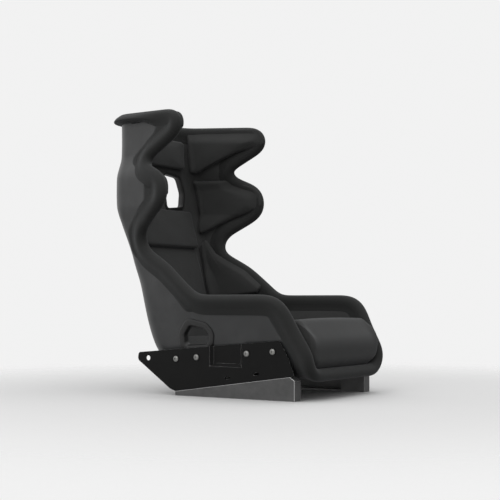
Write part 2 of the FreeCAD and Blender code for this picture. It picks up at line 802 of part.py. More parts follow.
def outer_fabric(side, sheet):
    """Thin fabric over the outside of one wing, between the edge roll and the bare shell."""
    return sheet.common(box(*sorted((side * 170.0, side * FAR)), -FAR, FAR, 0.0, 1000.0))


# Side mounts, rails and screws


def mount_face():
    """X of the left mount's outer face, which clears the shell's side at the mount's top front corner."""
    return float(round(wing_x(MOUNT_FRONT_Y, MOUNT_FRONT_TOP_Z, SHELL_THICKNESS) + MOUNT_GAP))


def rail_top(y):
    nose = RAIL_FRONT_Y + RAIL_NOSE
    return mix(RAIL_FRONT_HEIGHT, RAIL_REAR_HEIGHT, (y - nose) / (RAIL_REAR_Y - nose))


def rail():
    outer = mount_face()
    inner = outer - RAIL_WIDTH
    nose = RAIL_FRONT_Y + RAIL_NOSE
    side = [
        (RAIL_FRONT_Y, 0, 0), (RAIL_REAR_Y, 0, 0), (RAIL_REAR_Y, RAIL_REAR_HEIGHT, 0),
        (nose, RAIL_FRONT_HEIGHT, 0), (RAIL_FRONT_Y, RAIL_FRONT_HEIGHT - 0.7 * RAIL_NOSE, 0),
    ]
    body = along_x(closed_wire(side, lambda y, z: Vector(0, y, z)), inner, outer)
    reach = FLOOR_BOLT_SPACING_Y / 2 - 3 * FLOOR_HOLE_RADIUS
    wall = RAIL_WALL
    pocket = [
        (-reach, wall, 5), (0.55 * reach, wall, 5),
        (0.55 * reach, rail_top(0.55 * reach) - wall, 5), (-reach, rail_top(-reach) - wall, 5),
    ]
    body = body.cut(along_x(closed_wire(pocket, lambda y, z: Vector(0, y, z)), inner - 1, outer - wall))
    for y in (-FLOOR_BOLT_SPACING_Y / 2, FLOOR_BOLT_SPACING_Y / 2):
        hole = Vector(outer - RAIL_WIDTH / 2, y, 0)
        body = body.cut(Part.makeCylinder(FLOOR_HOLE_RADIUS, FLOOR_HOLE_DEPTH, hole))
    return body


def frustum(y0, y1, z0, z1, x0, x1, lean):
    """Tapering block between two planes of constant X."""
    def ring_at(x, inset):
        a, b, c, d = y0 + inset, y1 - inset, z0 + inset, z1
        return Part.makePolygon([Vector(x, *p) for p in ((a, c), (b, c), (b, d), (a, d), (a, c))])
    return Part.makeLoft([ring_at(x0, 0), ring_at(x1, lean)], True, True)


def side_mount():
    outer, thick = mount_face(), MOUNT_THICKNESS
    inner = outer - thick
    nose = RAIL_FRONT_Y + RAIL_NOSE
    rear = RAIL_REAR_Y - 1.0
    outline = [
        (rear, rail_top(rear), 0), (rear + 22, rail_top(rear) + 8, 8),
        (MOUNT_REAR_Y + 3, MOUNT_REAR_TOP_Z - 24, 14), (MOUNT_REAR_Y, MOUNT_REAR_TOP_Z, 10),
        (MOUNT_FRONT_Y, MOUNT_FRONT_TOP_Z, 14), (MOUNT_FRONT_Y - 33, MOUNT_FRONT_TOP_Z - 56, 30),
        (RAIL_FRONT_Y - 1, RAIL_FRONT_HEIGHT + 4, 5), (nose, RAIL_FRONT_HEIGHT, 0),
    ]

    def block(x0, x1):
        return along_x(closed_wire(outline, lambda y, z: Vector(0, y, z)), x0, x1)

    plate = block(inner, outer)
    depth, over = RECESS_DEPTH, MOUNT_FRONT_TOP_Z + 27
    front, back, low = RECESS_FRONT_Y, RECESS_REAR_Y, RECESS_LOW_Z
    pressed = frustum(front - thick, back + thick, low - thick, over, inner, inner - depth, depth + 1)
    hollow = frustum(front, back, low, over, outer, outer - depth, depth + 1)
    plate = plate.cut(pressed).fuse(pressed.common(block(inner - depth, outer))).cut(hollow)
    foot = [(rear, rail_top(rear), 0), (rear, rail_top(rear) + thick, 0),
            (nose, RAIL_FRONT_HEIGHT + thick, 0), (nose, RAIL_FRONT_HEIGHT, 0)]
    foot = along_x(closed_wire(foot, lambda y, z: Vector(0, y, z)), outer - RAIL_WIDTH, inner + 1)
    plate = plate.fuse(foot)
    for y, z in MOUNT_BOLTS:
        rings = [ring_x(12, SCREW_RADIUS + CLEARANCE, x, y, z) for x in (inner - 5, outer + 1)]
        plate = plate.cut(facet_loft(rings))
    hole = Vector(inner - 5, MOUNT_REAR_Y - 40, MOUNT_REAR_TOP_Z - 18)
    plate = plate.cut(Part.makeCylinder(MOUNT_REAR_HOLE_RADIUS, thick + 10, hole, Vector(1, 0, 0)))
    for y in (18.0, -88.0):
        z = rail_top(y) + 22.0
        slope = (RAIL_REAR_HEIGHT - RAIL_FRONT_HEIGHT) / (RAIL_REAR_Y - nose)
        slot = [(y + a, z + a * slope + b, 3.9) for a, b in ((-10, -4), (10, -4), (10, 4), (-10, 4))]
        plate = plate.cut(along_x(closed_wire(slot, lambda y, z: Vector(0, y, z)), inner - 5, outer + 1))
    return plate.removeSplitter()


def ring_x(count, radius, x, y, z):
    """Corners of a regular polygon square to X; radius reaches its corners."""
    corners = []
    for i in range(count):
        angle = 2 * math.pi * i / count
        corners.append(Vector(x, y + radius * math.cos(angle), z + radius * math.sin(angle)))
    return corners


def hexagon_x(across, x0, x1, y, z):
    """Hexagonal bar along X; across is the distance between two flats."""
    return facet_loft([ring_x(6, across / math.sqrt(3), x, y, z) for x in (x0, x1)])


def mount_spacers():
    """Hexagonal threaded spacers between the shell's side and the mount's inner face."""
    made = []
    face = mount_face() - MOUNT_THICKNESS
    r = SPACER_ACROSS / 2
    for y, z in MOUNT_BOLTS:
        reach = [wing_x(y + dy, z + dz, SHELL_THICKNESS) for dy in (-r, r) for dz in (-r, r)]
        start = max(reach) + CLEARANCE
        made.append(hexagon_x(SPACER_ACROSS, start, face, y, z))
    return Part.makeCompound(made)


def mount_screws():
    """Screws through the mount against the spacers, with low tapered heads and hexagon sockets."""
    made = []
    face = mount_face()
    top = face + SCREW_HEAD_HEIGHT
    profile = [(face, 1.0), (top - 2.5, 0.94), (top, 0.66)]
    for y, z in MOUNT_BOLTS:
        shank = facet_loft([ring_x(6, SCREW_RADIUS, x, y, z) for x in (face - MOUNT_THICKNESS, face + 1)])
        head = facet_loft([ring_x(12, SCREW_HEAD_RADIUS * share, x, y, z) for x, share in profile])
        made.append(shank.fuse(head).cut(hexagon_x(HEX_SOCKET, top - 3, top + 1, y, z)).removeSplitter())
    return Part.makeCompound(made)


def main():
    os.makedirs("parts", exist_ok=True)
    made = {}
    made["seat_shell"] = openings(layer(0, SHELL_THICKNESS).common(inside_edge(0)))
    cover = layer(-CLEARANCE, -CLEARANCE - COVER_THICKNESS)
    made["seat_cover"] = openings(cover.common(inside_edge(ROLL_FLANK + ROLL_SIDE_CLEARANCE)))
    made.update(edge_rolls())
    made.update(pads())
    sheet = layer(SHELL_THICKNESS + CLEARANCE, SHELL_THICKNESS + CLEARANCE + OUTER_FABRIC_THICKNESS)
    sheet = sheet.common(inside_edge(ROLL_FLANK + ROLL_SIDE_CLEARANCE)).cut(behind(fabric_profile()))
    made["outer_fabric_left"] = outer_fabric(LEFT, sheet)
    made["outer_fabric_right"] = outer_fabric(RIGHT, sheet)
    outer = SHELL_THICKNESS + CLEARANCE
    belt = slot_trim(belt_block, -COVER_THICKNESS - 2 * CLEARANCE, outer, 1, 3)
    made["belt_slot_trim_left"] = belt
    made["belt_slot_trim_right"] = flip(belt)
    made["crotch_slot_trim"] = slot_trim(crotch_block, -COVER_THICKNESS - 2 * CLEARANCE, outer, 11, 12)
    for name, make in (("lap_bezel", lap_bezel), ("side_mount", side_mount), ("wedge_rail", rail),
                       ("mount_spacers", mount_spacers), ("mount_screws", mount_screws)):
        made[name + "_left"] = make()
        made[name + "_right"] = flip(made[name + "_left"])
    for name, shape in made.items():
        shape.exportStep("parts/" + name + ".step")


main()
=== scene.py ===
"""Racing seat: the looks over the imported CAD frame. Lengths in the helpers are millimetres."""
import math

import bpy
import bmesh
import numpy as np
from mathutils import Matrix, Vector


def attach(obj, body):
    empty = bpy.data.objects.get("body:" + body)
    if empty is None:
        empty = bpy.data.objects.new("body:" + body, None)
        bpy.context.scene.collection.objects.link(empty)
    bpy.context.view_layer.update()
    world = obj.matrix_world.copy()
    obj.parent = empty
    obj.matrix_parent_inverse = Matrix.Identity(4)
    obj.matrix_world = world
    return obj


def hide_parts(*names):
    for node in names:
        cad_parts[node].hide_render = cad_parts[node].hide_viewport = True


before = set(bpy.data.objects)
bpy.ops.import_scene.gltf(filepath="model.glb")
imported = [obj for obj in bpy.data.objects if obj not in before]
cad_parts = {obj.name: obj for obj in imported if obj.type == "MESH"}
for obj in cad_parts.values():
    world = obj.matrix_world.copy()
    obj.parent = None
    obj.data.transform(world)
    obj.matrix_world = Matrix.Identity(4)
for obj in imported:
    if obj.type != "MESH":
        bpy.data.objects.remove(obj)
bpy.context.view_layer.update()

MM = 0.001
MERGE_DISTANCE = 0.00002  # metres
rng = np.random.default_rng(11)  # turns each screw

# The bucket's sections, head to knees: back y z, wing end y z, half widths, corner radius
STATIONS = np.array([
    (518, 940, 189, 940, 187.0, 253.0, 70),
    (508, 795, 187, 790, 198.8, 268.2, 72),
    (504, 712, 202, 700, 230.2, 298.6, 77),
    (500, 628, 207, 612, 234.0, 300.0, 78),
    (483, 569, 203, 550, 217.9, 283.3, 52),
    (441, 447, 179, 438, 206.0, 264.2, 52),
    (415, 355, 150, 378, 208.0, 263.0, 74),
    (385, 240, 105, 352, 208.0, 263.0, 72),
    (354, 155, 70, 351, 204.0, 263.0, 70),
    (310, 99, 45, 350, 200.8, 263.0, 69),
    (240, 68, 12, 350, 200.0, 263.0, 69),
    (50, 55, -65, 350, 200.0, 263.0, 69),
    (-120, 62, -150, 350, 210.8, 264.0, 65),
    (-262, 77, -262, 350, 224.0, 267.0, 57),
], float)
LAST = len(STATIONS) - 1
SKIN_END = LAST + 0.1
WING_END, SHEET_END = 3.1, 3.12
BACK_Y, FRONT_Y = 520.0, -262.0

# Outer faces of shell and outer fabric and seat face of the cover, as distances from the skin
SHELL, FABRIC, COVER = 5.0, 9.0, 12.0
ROLL, BRIM = 20.0, 13.0
WING_PAD_THICKNESS = 20.0
MOUNT_FACE_X = 245.05

# Side outlines: y, z, corner radius. The belt slot is drawn on x and z, the crotch slot on x and y.

# The shell's edge, and where the fabric on the outside of the wings ends
EDGE = [
    (700, 930, 0), (213, 910, 28), (211, 863, 26), (395, 763, 35), (246, 698, 46), (245, 629, 40),
    (438, 504, 62), (265, 409, 100), (138, 304, 90), (-172, 304, 70), (-222, 204, 60), (-262, 138, 40),
    (-262, -60, 0),
]
FABRIC_EDGE = [
    (309, 1000, 0), (309, 868, 50), (428, 775, 22), (330, 703, 50), (329, 634, 24), (437, 545, 35),
    (430, 462, 45), (300, 398, 70), (180, 269, 30), (-122, 278, 45), (-180, 183, 20), (-213, 127, 30),
    (-242, 96, 5), (-242, -60, 0),
]
# Screws through each mount: y, z
MOUNT_BOLTS = [(219, 118), (138, 125), (-53, 141), (-148, 149)]

# The wing pads, whose outlines run past the padded edge and are drawn back to it
HEAD_WING_PAD = [
    (494, 925, 8), (196, 925, 30), (196, 868, 20), (303, 843, 30), (446, 784, 16), (489, 776, 8),
]
SHOULDER_WING_PAD = [
    (488, 752, 8), (345, 750, 30), (228, 708, 30), (228, 652, 20), (329, 602, 30), (431, 551, 14),
    (460, 543, 8),
]
HIP_WING_PAD = [
    (450, 500, 8), (424, 522, 8), (380, 470, 24), (300, 434, 30), (258, 408, 24), (200, 358, 12),
    (214, 332, 10), (398, 314, 10),
]

# Openings for the belts
BELT_SLOT = [(58, 637, 12), (148, 646, 14), (156, 698, 30), (134, 752, 22), (42, 760, 14)]
LAP_OPENING = [
    (197, 161, 12), (197, 197, 16), (171, 228, 16), (113, 217, 18), (97, 198, 14), (107, 166, 14),
]
CROTCH = [(-45, -52, 13.6), (45, -52, 13.6), (45, -18, 13.6), (-45, -18, 13.6)]


# Smooth skin through the stations


def slopes(xs, ys):
    """Slopes of a smooth curve that never overshoots its points."""
    h = np.diff(xs)
    d = np.diff(ys, axis=0) / h[:, None]
    out = np.zeros_like(ys)
    out[0], out[-1] = d[0], d[-1]
    for k in range(1, len(xs) - 1):
        w1, w2 = 2 * h[k] + h[k - 1], h[k] + 2 * h[k - 1]
        same = d[k - 1] * d[k] > 0
        a, b = np.where(same, d[k - 1], 1), np.where(same, d[k], 1)
        out[k] = np.where(same, (w1 + w2) / (w1 / a + w2 / b), 0)
    return out


RUN = np.concatenate([[0], np.cumsum(np.hypot(*np.diff(STATIONS[:, :2], axis=0).T))])
SLOPES = slopes(RUN, STATIONS)


def station_values(place):
    """A station's seven values at any place from 0 at the head to LAST at the knees."""
    place = np.clip(place, 0, LAST + 0.2)
    i = np.minimum(place.astype(int), LAST - 1)
    t = (place - i)[..., None]
    h = (RUN[i + 1] - RUN[i])[..., None]
    a, b, da, db = STATIONS[i], STATIONS[i + 1], SLOPES[i] * h, SLOPES[i + 1] * h
    t2, t3 = t * t, t * t * t
    return (2 * t3 - 3 * t2 + 1) * a + (t3 - 2 * t2 + t) * da + (3 * t2 - 2 * t3) * b + (t3 - t2) * db


def base(place, along):
    """Skin points; along is 0 to 1 over the back, 1 to 2 round the corner and 2 to 3 up the wing."""
    place, along = np.broadcast_arrays(np.asarray(place, float), np.asarray(along, float))
    y, z, ey, ez, half, wing, radius = np.moveaxis(station_values(place), -1, 0)
    side, along = np.where(along < 0, -1.0, 1.0), np.abs(along)
    depth = np.hypot(ey - y, ez - z)
    iy, iz = (ey - y) / depth, (ez - z) / depth
    turn = np.arctan2(depth, wing - half)
    tangent = radius * np.tan(turn / 2)
    flat = half - tangent
    t = np.clip(along - 1, 0, 1) * turn
    x = np.where(along <= 1, flat * along, flat + radius * np.sin(t))
    k = np.where(along <= 1, 0, radius - radius * np.cos(t))
    w = np.clip(along - 2, 0, 1.2)
    foot_x, foot_k = half + tangent * np.cos(turn), tangent * np.sin(turn)
    x = np.where(along > 2, foot_x + (wing - foot_x) * w, x)
    k = np.where(along > 2, foot_k + (depth - foot_k) * w, k)
    return np.stack([x * side, y + iy * k, z + iz * k], -1)


def skin(place, along, distance=0.0):
    """Skin points moved outward by a distance, and the outward directions there."""
    place, along = np.broadcast_arrays(np.asarray(place, float), np.asarray(along, float))
    p = base(place, along)
    across = base(place, along + 0.02) - base(place, along - 0.02)
    down = base(np.minimum(place + 0.03, LAST + 0.15), along) - base(np.maximum(place - 0.03, 0), along)
    n = np.cross(across, down)
    n /= np.linalg.norm(n, axis=-1, keepdims=True)
    return p + n * np.asarray(distance, float)[..., None], n


TABLE_P, TABLE_A = [grid.ravel() for grid in np.meshgrid(
    np.arange(0, LAST + 0.01, 0.1), np.arange(0, 3.11, 0.06), indexing="ij")]
TABLE = base(TABLE_P, TABLE_A)
NUDGE = 0.004


def locate(a, b, axes, low=0.0, high=WING_END):
    """Place and along of the skin points with these two coordinates, by steps from a table."""
    a, b = np.atleast_1d(np.asarray(a, float)), np.atleast_1d(np.asarray(b, float))
    mask = (TABLE_A >= low) & (TABLE_A <= high)
    pts, tp, ta = TABLE[mask][:, axes], TABLE_P[mask], TABLE_A[mask]
    near = np.array([np.argmin((pts[:, 0] - u) ** 2 + (pts[:, 1] - v) ** 2) for u, v in zip(a, b)])
    place, along = tp[near].copy(), ta[near].copy()
    target = np.stack([a, b], -1)
    for _ in range(14):
        p = base(place, along)[:, axes]
        dp = (base(place + NUDGE, along)[:, axes] - base(place - NUDGE, along)[:, axes]) / (2 * NUDGE)
        da = (base(place, along + NUDGE)[:, axes] - base(place, along - NUDGE)[:, axes]) / (2 * NUDGE)
        miss = target - p
        det = dp[:, 0] * da[:, 1] - dp[:, 1] * da[:, 0]
        det = np.where(np.abs(det) < 1e-6, 1e-6, det)
        place = place + np.clip((miss[:, 0] * da[:, 1] - miss[:, 1] * da[:, 0]) / det, -0.3, 0.3)
        along = along + np.clip((dp[:, 0] * miss[:, 1] - dp[:, 1] * miss[:, 0]) / det, -0.2, 0.2)
        place, along = np.clip(place, 0, SKIN_END), np.clip(along, -0.2, 3.15)
    return place, along


# Outlines


def rounded(points, closed=True, step=3.0):
    """Dense points along an outline with rounded corners."""
    out = []
    n = len(points)
    for i, (x, y, r) in enumerate(points):
        if r == 0:
            out.append((x, y))
            continue
        before, after = points[i - 1], points[(i + 1) % n]
        p, q, s = np.array(before[:2], float), np.array((x, y), float), np.array(after[:2], float)
        u, v = (p - q) / np.linalg.norm(p - q), (s - q) / np.linalg.norm(s - q)
        half = math.acos(np.clip(u @ v, -1, 1)) / 2
        reach = r / math.tan(half)
        centre = q + (u + v) / np.linalg.norm(u + v) * (r / math.sin(half))
        a, b = q + u * reach - centre, q + v * reach - centre
        a0 = math.atan2(a[1], a[0])
        da = (math.atan2(b[1], b[0]) - a0 + math.pi) % (2 * math.pi) - math.pi
        for t in np.linspace(0, 1, max(4, int(abs(da) * r / step))):
            out.append((centre[0] + r * math.cos(a0 + da * t), centre[1] + r * math.sin(a0 + da * t)))
    return resampled(np.array(out), step, closed)


def resampled(pts, step=None, closed=False, count=None):
    """The same run of points, spaced evenly by a step or a count."""
    if closed:
        pts = np.vstack([pts, pts[:1]])
    run = np.concatenate([[0], np.cumsum(np.linalg.norm(np.diff(pts, axis=0), axis=1))])
    count = count or max(8, int(run[-1] / step))
    at = np.linspace(0, run[-1], count + 1)
    out = np.stack([np.interp(at, run, pts[:, k]) for k in range(pts.shape[1])], -1)
    return out[:-1] if closed else out


def blurred(values, sigma, mode="wrap"):
    """Gaussian blur along the first axis; sigma counts samples."""
    reach = int(3 * sigma) + 1
    weights = np.exp(-0.5 * (np.arange(-reach, reach + 1) / sigma) ** 2)
    weights /= weights.sum()
    padded = np.pad(values, [(reach, reach)] + [(0, 0)] * (values.ndim - 1), mode=mode)
    return sum(w * padded[i:i + len(values)] for i, w in enumerate(weights))


def area(pts):
    """Signed area of a closed outline."""
    x, y = pts[:, 0], pts[:, 1]
    return 0.5 * np.sum(x * np.roll(y, -1) - np.roll(x, -1) * y)


def grown(pts, grow):
    """A closed dense outline moved outward."""
    tangent = np.roll(pts, -1, 0) - np.roll(pts, 1, 0)
    tangent = blurred(tangent, 1.5)
    tangent /= np.linalg.norm(tangent, axis=1, keepdims=True)
    normal = np.stack([tangent[:, 1], -tangent[:, 0]], -1) * math.copysign(1, area(pts))
    return pts + normal * grow


def inside(pts, outline):
    """Which points lie inside a closed outline."""
    x, y = pts[:, 0], pts[:, 1]
    result = np.zeros(len(pts), bool)
    for (x0, y0), (x1, y1) in zip(outline, np.roll(outline, -1, 0)):
        if y0 == y1:
            continue
        crossing = (y0 > y) != (y1 > y)
        result ^= crossing & (x < (x1 - x0) * (y - y0) / (y1 - y0) + x0)
    return result


def distance_to(pts, line, chunk=4000):
    """Distance from each point to the nearest point of a dense line."""
    out = np.empty(len(pts))
    for i in range(0, len(pts), chunk):
        d = pts[i:i + chunk, None, :] - line[None, :, :]
        out[i:i + chunk] = np.sqrt((d * d).sum(-1).min(1))
    return out


def signed(pts, outline):
    """Distance to a closed outline, positive inside."""
    d = distance_to(pts, outline)
    return np.where(inside(pts, outline), d, -d)


def smooth01(t):
    """Eased rise from 0 to 1."""
    t = np.clip(t, 0, 1)
    return t * t * (3 - 2 * t)


# Meshes and objects


def new_object(name, verts, faces, material, smooth=True):
    mesh = bpy.data.meshes.new(name)
    points = [tuple(v) for v in np.asarray(verts) * MM]
    mesh.from_pydata(points, [], [tuple(int(i) for i in f) for f in faces])
    mesh.validate()
    if smooth:
        mesh.polygons.foreach_set("use_smooth", [True] * len(mesh.polygons))
    mesh.materials.append(material)
    obj = bpy.data.objects.new(name, mesh)
    bpy.context.scene.collection.objects.link(obj)
    return obj


def outward(obj, merge=False):
    """Turns the faces outward, after joining doubled points where asked."""
    bm = bmesh.new()
    bm.from_mesh(obj.data)
    if merge:
        bmesh.ops.remove_doubles(bm, verts=bm.verts, dist=MERGE_DISTANCE)
    bmesh.ops.recalc_face_normals(bm, faces=bm.faces)
    bm.to_mesh(obj.data)
    bm.free()


def grid_faces(rows, columns, close_columns=False, close_rows=False):
    """Four-cornered faces between the rows of a grid of points."""
    faces = []
    for i in range(rows if close_rows else rows - 1):
        a, b = i * columns, ((i + 1) % rows) * columns
        for j in range(columns if close_columns else columns - 1):
            k = (j + 1) % columns
            faces.append((a + j, a + k, b + k, b + j))
    return faces


def place_piece(obj, slot, *nodes):
    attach(obj, "root")
    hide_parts(*nodes)


def flipped(obj, name):
    """Mirror copy for the other side."""
    mesh = obj.data.copy()
    mesh.transform(Matrix.Scale(-1, 4, (1, 0, 0)))
    mesh.flip_normals()
    other = bpy.data.objects.new(name, mesh)
    bpy.context.scene.collection.objects.link(other)
    return other


def skin_sheet(name, material, near, far, keep, step, low=-SHEET_END):
    """Sheet between two distances from the skin. keep says which skin points stay."""
    rows = int(RUN[-1] * SKIN_END / LAST / step)
    place = np.interp(np.linspace(0, RUN[-1], rows), RUN, range(LAST + 1))
    place = np.append(place, [LAST + 0.03, SKIN_END])
    back, corner, wing = 150, 100, 240 * 1.12
    half = np.concatenate([
        np.linspace(0, 1, int(back / step) + 1)[1:], np.linspace(1, 2, int(corner / step) + 1)[1:],
        np.linspace(2, SHEET_END, int(wing / step) + 1)[1:]])
    along = np.concatenate([-half[::-1], [0], half])
    along = along[along >= low]
    p, a = np.meshgrid(place, along, indexing="ij")
    flat_p, flat_a = p.ravel(), a.ravel()
    points = base(flat_p, flat_a)
    stay = keep(points, flat_a)
    faces = np.array(grid_faces(len(p), len(along)))
    faces = faces[stay[faces].all(1)]
    layers = []
    for distance in (near, far):
        d = distance(points) if callable(distance) else np.full(len(points), distance)
        layers.append(skin(flat_p, flat_a, d)[0])
    count = len(points)
    edges = dict.fromkeys((f[i], f[(i + 1) % 4]) for f in faces for i in range(4))
    rim = [(u, v, v + count, u + count) for (u, v) in edges if (v, u) not in edges]
    every = [tuple(f[::-1]) for f in faces] + [tuple(f + count) for f in faces] + rim
    used = np.unique(np.concatenate([np.ravel(f) for f in every]))
    index = np.full(2 * count, -1)
    index[used] = np.arange(len(used))
    verts = np.vstack(layers)[used]
    obj = new_object(name, verts, [tuple(index[list(f)]) for f in every], material)
    outward(obj)
    return obj


# Materials


def material(name, colour, roughness, **inputs):
    """A principled material, its node tree and its shader. Input names have _ for a space."""
    mat = bpy.data.materials.new(name)
    mat.use_nodes = True
    tree = mat.node_tree
    shader = tree.nodes["Principled BSDF"]
    shader.inputs["Base Color"].default_value = (*colour, 1)
    shader.inputs["Roughness"].default_value = roughness
    for key, value in inputs.items():
        shader.inputs[key.replace("_", " ")].default_value = value
    return mat, tree, shader


def connect(tree, shader, colour, rough, normal):
    for name, value in (("Base Color", colour), ("Roughness", rough), ("Normal", normal)):
        tree.links.new(value, shader.inputs[name])


def node(tree, kind, **settings):
    made = tree.nodes.new(kind)
    for key, value in settings.items():
        setattr(made, key, value)
    return made


def math_node(tree, operation, *values):
    made = node(tree, "ShaderNodeMath", operation=operation)
    for i, value in enumerate(values):
        if isinstance(value, (int, float)):
            made.inputs[i].default_value = value
        else:
            tree.links.new(value, made.inputs[i])
    return made.outputs[0]


def plus(tree, a, b):
    return math_node(tree, "ADD", a, b)


def times(tree, a, b):
    return math_node(tree, "MULTIPLY", a, b)


def sine(tree, value):
    return math_node(tree, "SINE", value)


def noise(tree, coordinate, scale, detail, roughness):
    made = node(tree, "ShaderNodeTexNoise")
    made.inputs["Scale"].default_value = scale
    made.inputs["Detail"].default_value = detail
    made.inputs["Roughness"].default_value = roughness
    tree.links.new(coordinate, made.inputs["Vector"])
    return made.outputs["Fac"]


def ramp(tree, value, stops):
    made = node(tree, "ShaderNodeValToRGB")
    elements = made.color_ramp.elements
    while len(elements) < len(stops):
        elements.new(0.5)
    for element, (position, colour) in zip(elements, stops):
        element.position = position
        element.color = (*colour, 1)
    tree.links.new(value, made.inputs[0])
    return made.outputs[0]


def bump(tree, height, distance, strength, before=None):
    made = node(tree, "ShaderNodeBump")
    made.inputs["Strength"].default_value = strength
    made.inputs["Distance"].default_value = distance
    tree.links.new(height, made.inputs["Height"])
    if before is not None:
        tree.links.new(before, made.inputs["Normal"])
    return made.outputs[0]


def coordinates(tree, scale=(1, 1, 1)):
    source = node(tree, "ShaderNodeTexCoord")
    mapping = node(tree, "ShaderNodeMapping")
    mapping.inputs["Scale"].default_value = scale
    tree.links.new(source.outputs["Object"], mapping.inputs["Vector"])
    return mapping.outputs[0]


def place_on_object(tree):
    """X, Y and Z of each place on the object, in metres."""
    source = node(tree, "ShaderNodeTexCoord")
    split = node(tree, "ShaderNodeSeparateXYZ")
    tree.links.new(source.outputs["Object"], split.inputs[0])
    return split.outputs


def tinted(colour, factor):
    return [c * factor for c in colour]


def knit_height(tree, pitch):
    """Height of a fine knit: ribs crossed with loops."""
    x, y, z = place_on_object(tree)
    k = 2 * math.pi / pitch
    ribs = sine(tree, times(tree, plus(tree, y, x), 0.72 * k))
    loops = sine(tree, times(tree, plus(tree, z, times(tree, x, 0.6)), k))
    return plus(tree, times(tree, times(tree, ribs, loops), 0.35), 0.5)


def fabric(name, colour, pitch, sheen, bump_mm):
    """Matt knitted fabric with a soft sheen, cloudy wear and slight slow unevenness."""
    mat, tree, shader = material(
        name, colour, 0.88, Sheen_Weight=sheen, Sheen_Roughness=0.45,
        Sheen_Tint=(0.75, 0.77, 0.8, 1), Specular_IOR_Level=0.25)
    here = coordinates(tree)
    fine = noise(tree, here, 1400, 3, 0.7)
    cloud = noise(tree, here, 9, 5, 0.6)
    weave = plus(tree, times(tree, knit_height(tree, pitch), 0.55), times(tree, fine, 0.45))
    mixed = plus(tree, times(tree, weave, 0.7), times(tree, cloud, 0.3))
    shades = ramp(tree, mixed, [(0.30, tinted(colour, 0.72)), (0.72, tinted(colour, 1.30))])
    rough = plus(tree, times(tree, cloud, 0.14), 0.80)
    slow = bump(tree, noise(tree, coordinates(tree, (1, 1, 0.6)), 26, 3, 0.5), 0.0016, 0.5)
    connect(tree, shader, shades, rough, bump(tree, weave, bump_mm * MM, 0.8, slow))
    return mat


def composite(name):
    """Satin black fibre composite: a faint twill under a clear coat, with slow waviness."""
    mat, tree, shader = material(
        name, (0.018, 0.019, 0.020), 0.36, Coat_Weight=0.12, Coat_Roughness=0.22,
        Specular_IOR_Level=0.42)
    x, y, z = place_on_object(tree)
    pace = 520.0  # radians per metre
    across = times(tree, plus(tree, y, x), pace)
    up = times(tree, z, pace)
    diagonal = sine(tree, plus(tree, times(tree, across, 1.6), times(tree, up, 1.6)))
    tow = times(tree, sine(tree, times(tree, across, 3.1)), sine(tree, times(tree, up, 3.1)))
    twill = plus(tree, times(tree, diagonal, 0.35), times(tree, tow, 0.15))
    cloud = noise(tree, coordinates(tree), 14, 4, 0.6)
    shades = ramp(tree, plus(tree, times(tree, twill, 0.5), cloud),
                  [(0.2, (0.015, 0.0155, 0.016)), (0.85, (0.038, 0.039, 0.040))])
    scuff = noise(tree, coordinates(tree, (1, 1, 0.25)), 60, 6, 0.7)
    rough = plus(tree, times(tree, scuff, 0.22), 0.27)
    wave = bump(tree, noise(tree, coordinates(tree, (1, 1, 0.35)), 7, 2, 0.4), 0.004, 0.30)
    connect(tree, shader, shades, rough, bump(tree, twill, 0.00012, 0.5, wave))
    return mat


def painted(name, colour, roughness, gloss):
    """Powder coat with a fine orange peel."""
    mat, tree, shader = material(name, colour, roughness, Specular_IOR_Level=gloss)
    here = coordinates(tree)
    cloud = noise(tree, here, 22, 5, 0.65)
    shades = ramp(tree, cloud, [(0.3, tinted(colour, 0.8)), (0.75, tinted(colour, 1.25))])
    rough = plus(tree, times(tree, cloud, 0.16), roughness - 0.08)
    connect(tree, shader, shades, rough, bump(tree, noise(tree, here, 900, 2, 0.6), 0.00006, 0.7))
    return mat


def metal(name, colour, roughness, stretch, strength):
    """Brushed metal; stretch draws the brushing out along an axis."""
    mat, tree, shader = material(name, colour, roughness, Metallic=1.0)
    brushed = noise(tree, coordinates(tree, stretch), 1500, 3, 0.6)
    cloud = noise(tree, coordinates(tree), 30, 4, 0.6)
    shades = ramp(tree, cloud, [(0.3, tinted(colour, 0.86)), (0.75, colour)])
    both = plus(tree, times(tree, brushed, 0.14), times(tree, cloud, 0.12))
    connect(tree, shader, shades, plus(tree, both, roughness - 0.12),
            bump(tree, brushed, 0.00004, strength))
    return mat


def plastic(name, colour, roughness):
    """Moulded plastic with a fine grain."""
    mat, tree, shader = material(name, colour, roughness)
    grain = node(tree, "ShaderNodeTexVoronoi")
    grain.inputs["Scale"].default_value = 900
    tree.links.new(coordinates(tree), grain.inputs["Vector"])
    cloud = noise(tree, coordinates(tree), 35, 4, 0.6)
    shades = ramp(tree, cloud, [(0.3, tinted(colour, 0.8)), (0.7, tinted(colour, 1.2))])
    rough = plus(tree, times(tree, cloud, 0.2), roughness - 0.1)
    connect(tree, shader, shades, rough, bump(tree, grain.outputs["Distance"], 0.00008, 0.6))
    return mat


COVER_FABRIC = fabric("cover_knit", (0.044, 0.0445, 0.044), 0.0021, 0.14, 0.22)
PAD_FABRIC = fabric("pad_knit", (0.038, 0.0385, 0.038), 0.0017, 0.14, 0.20)
EDGE_FABRIC = fabric("edge_knit", (0.0235, 0.024, 0.0235), 0.0021, 0.12, 0.22)
SHELL_FINISH = composite("satin_composite")
TRIM = plastic("moulded_trim", (0.010, 0.010, 0.010), 0.45)
PAINT = painted("black_powder_coat", (0.005, 0.005, 0.005), 0.50, 0.14)
# Bright metal for the bevels of mounts and rails: a painted highlight along their edges.
EDGE_HIGHLIGHT_METAL = metal("edge_highlight_metal", (0.85, 0.85, 0.85), 0.34, (1, 0.03, 1), 0.35)
RAIL_PAINT = painted("grey_rail", (0.085, 0.085, 0.085), 0.50, 0.35)
STEEL = metal("zinc_steel", (0.30, 0.30, 0.29), 0.36, (1, 1, 1), 0.2)

# The edge of the bucket as one closed run in space, with two places on its rising top line

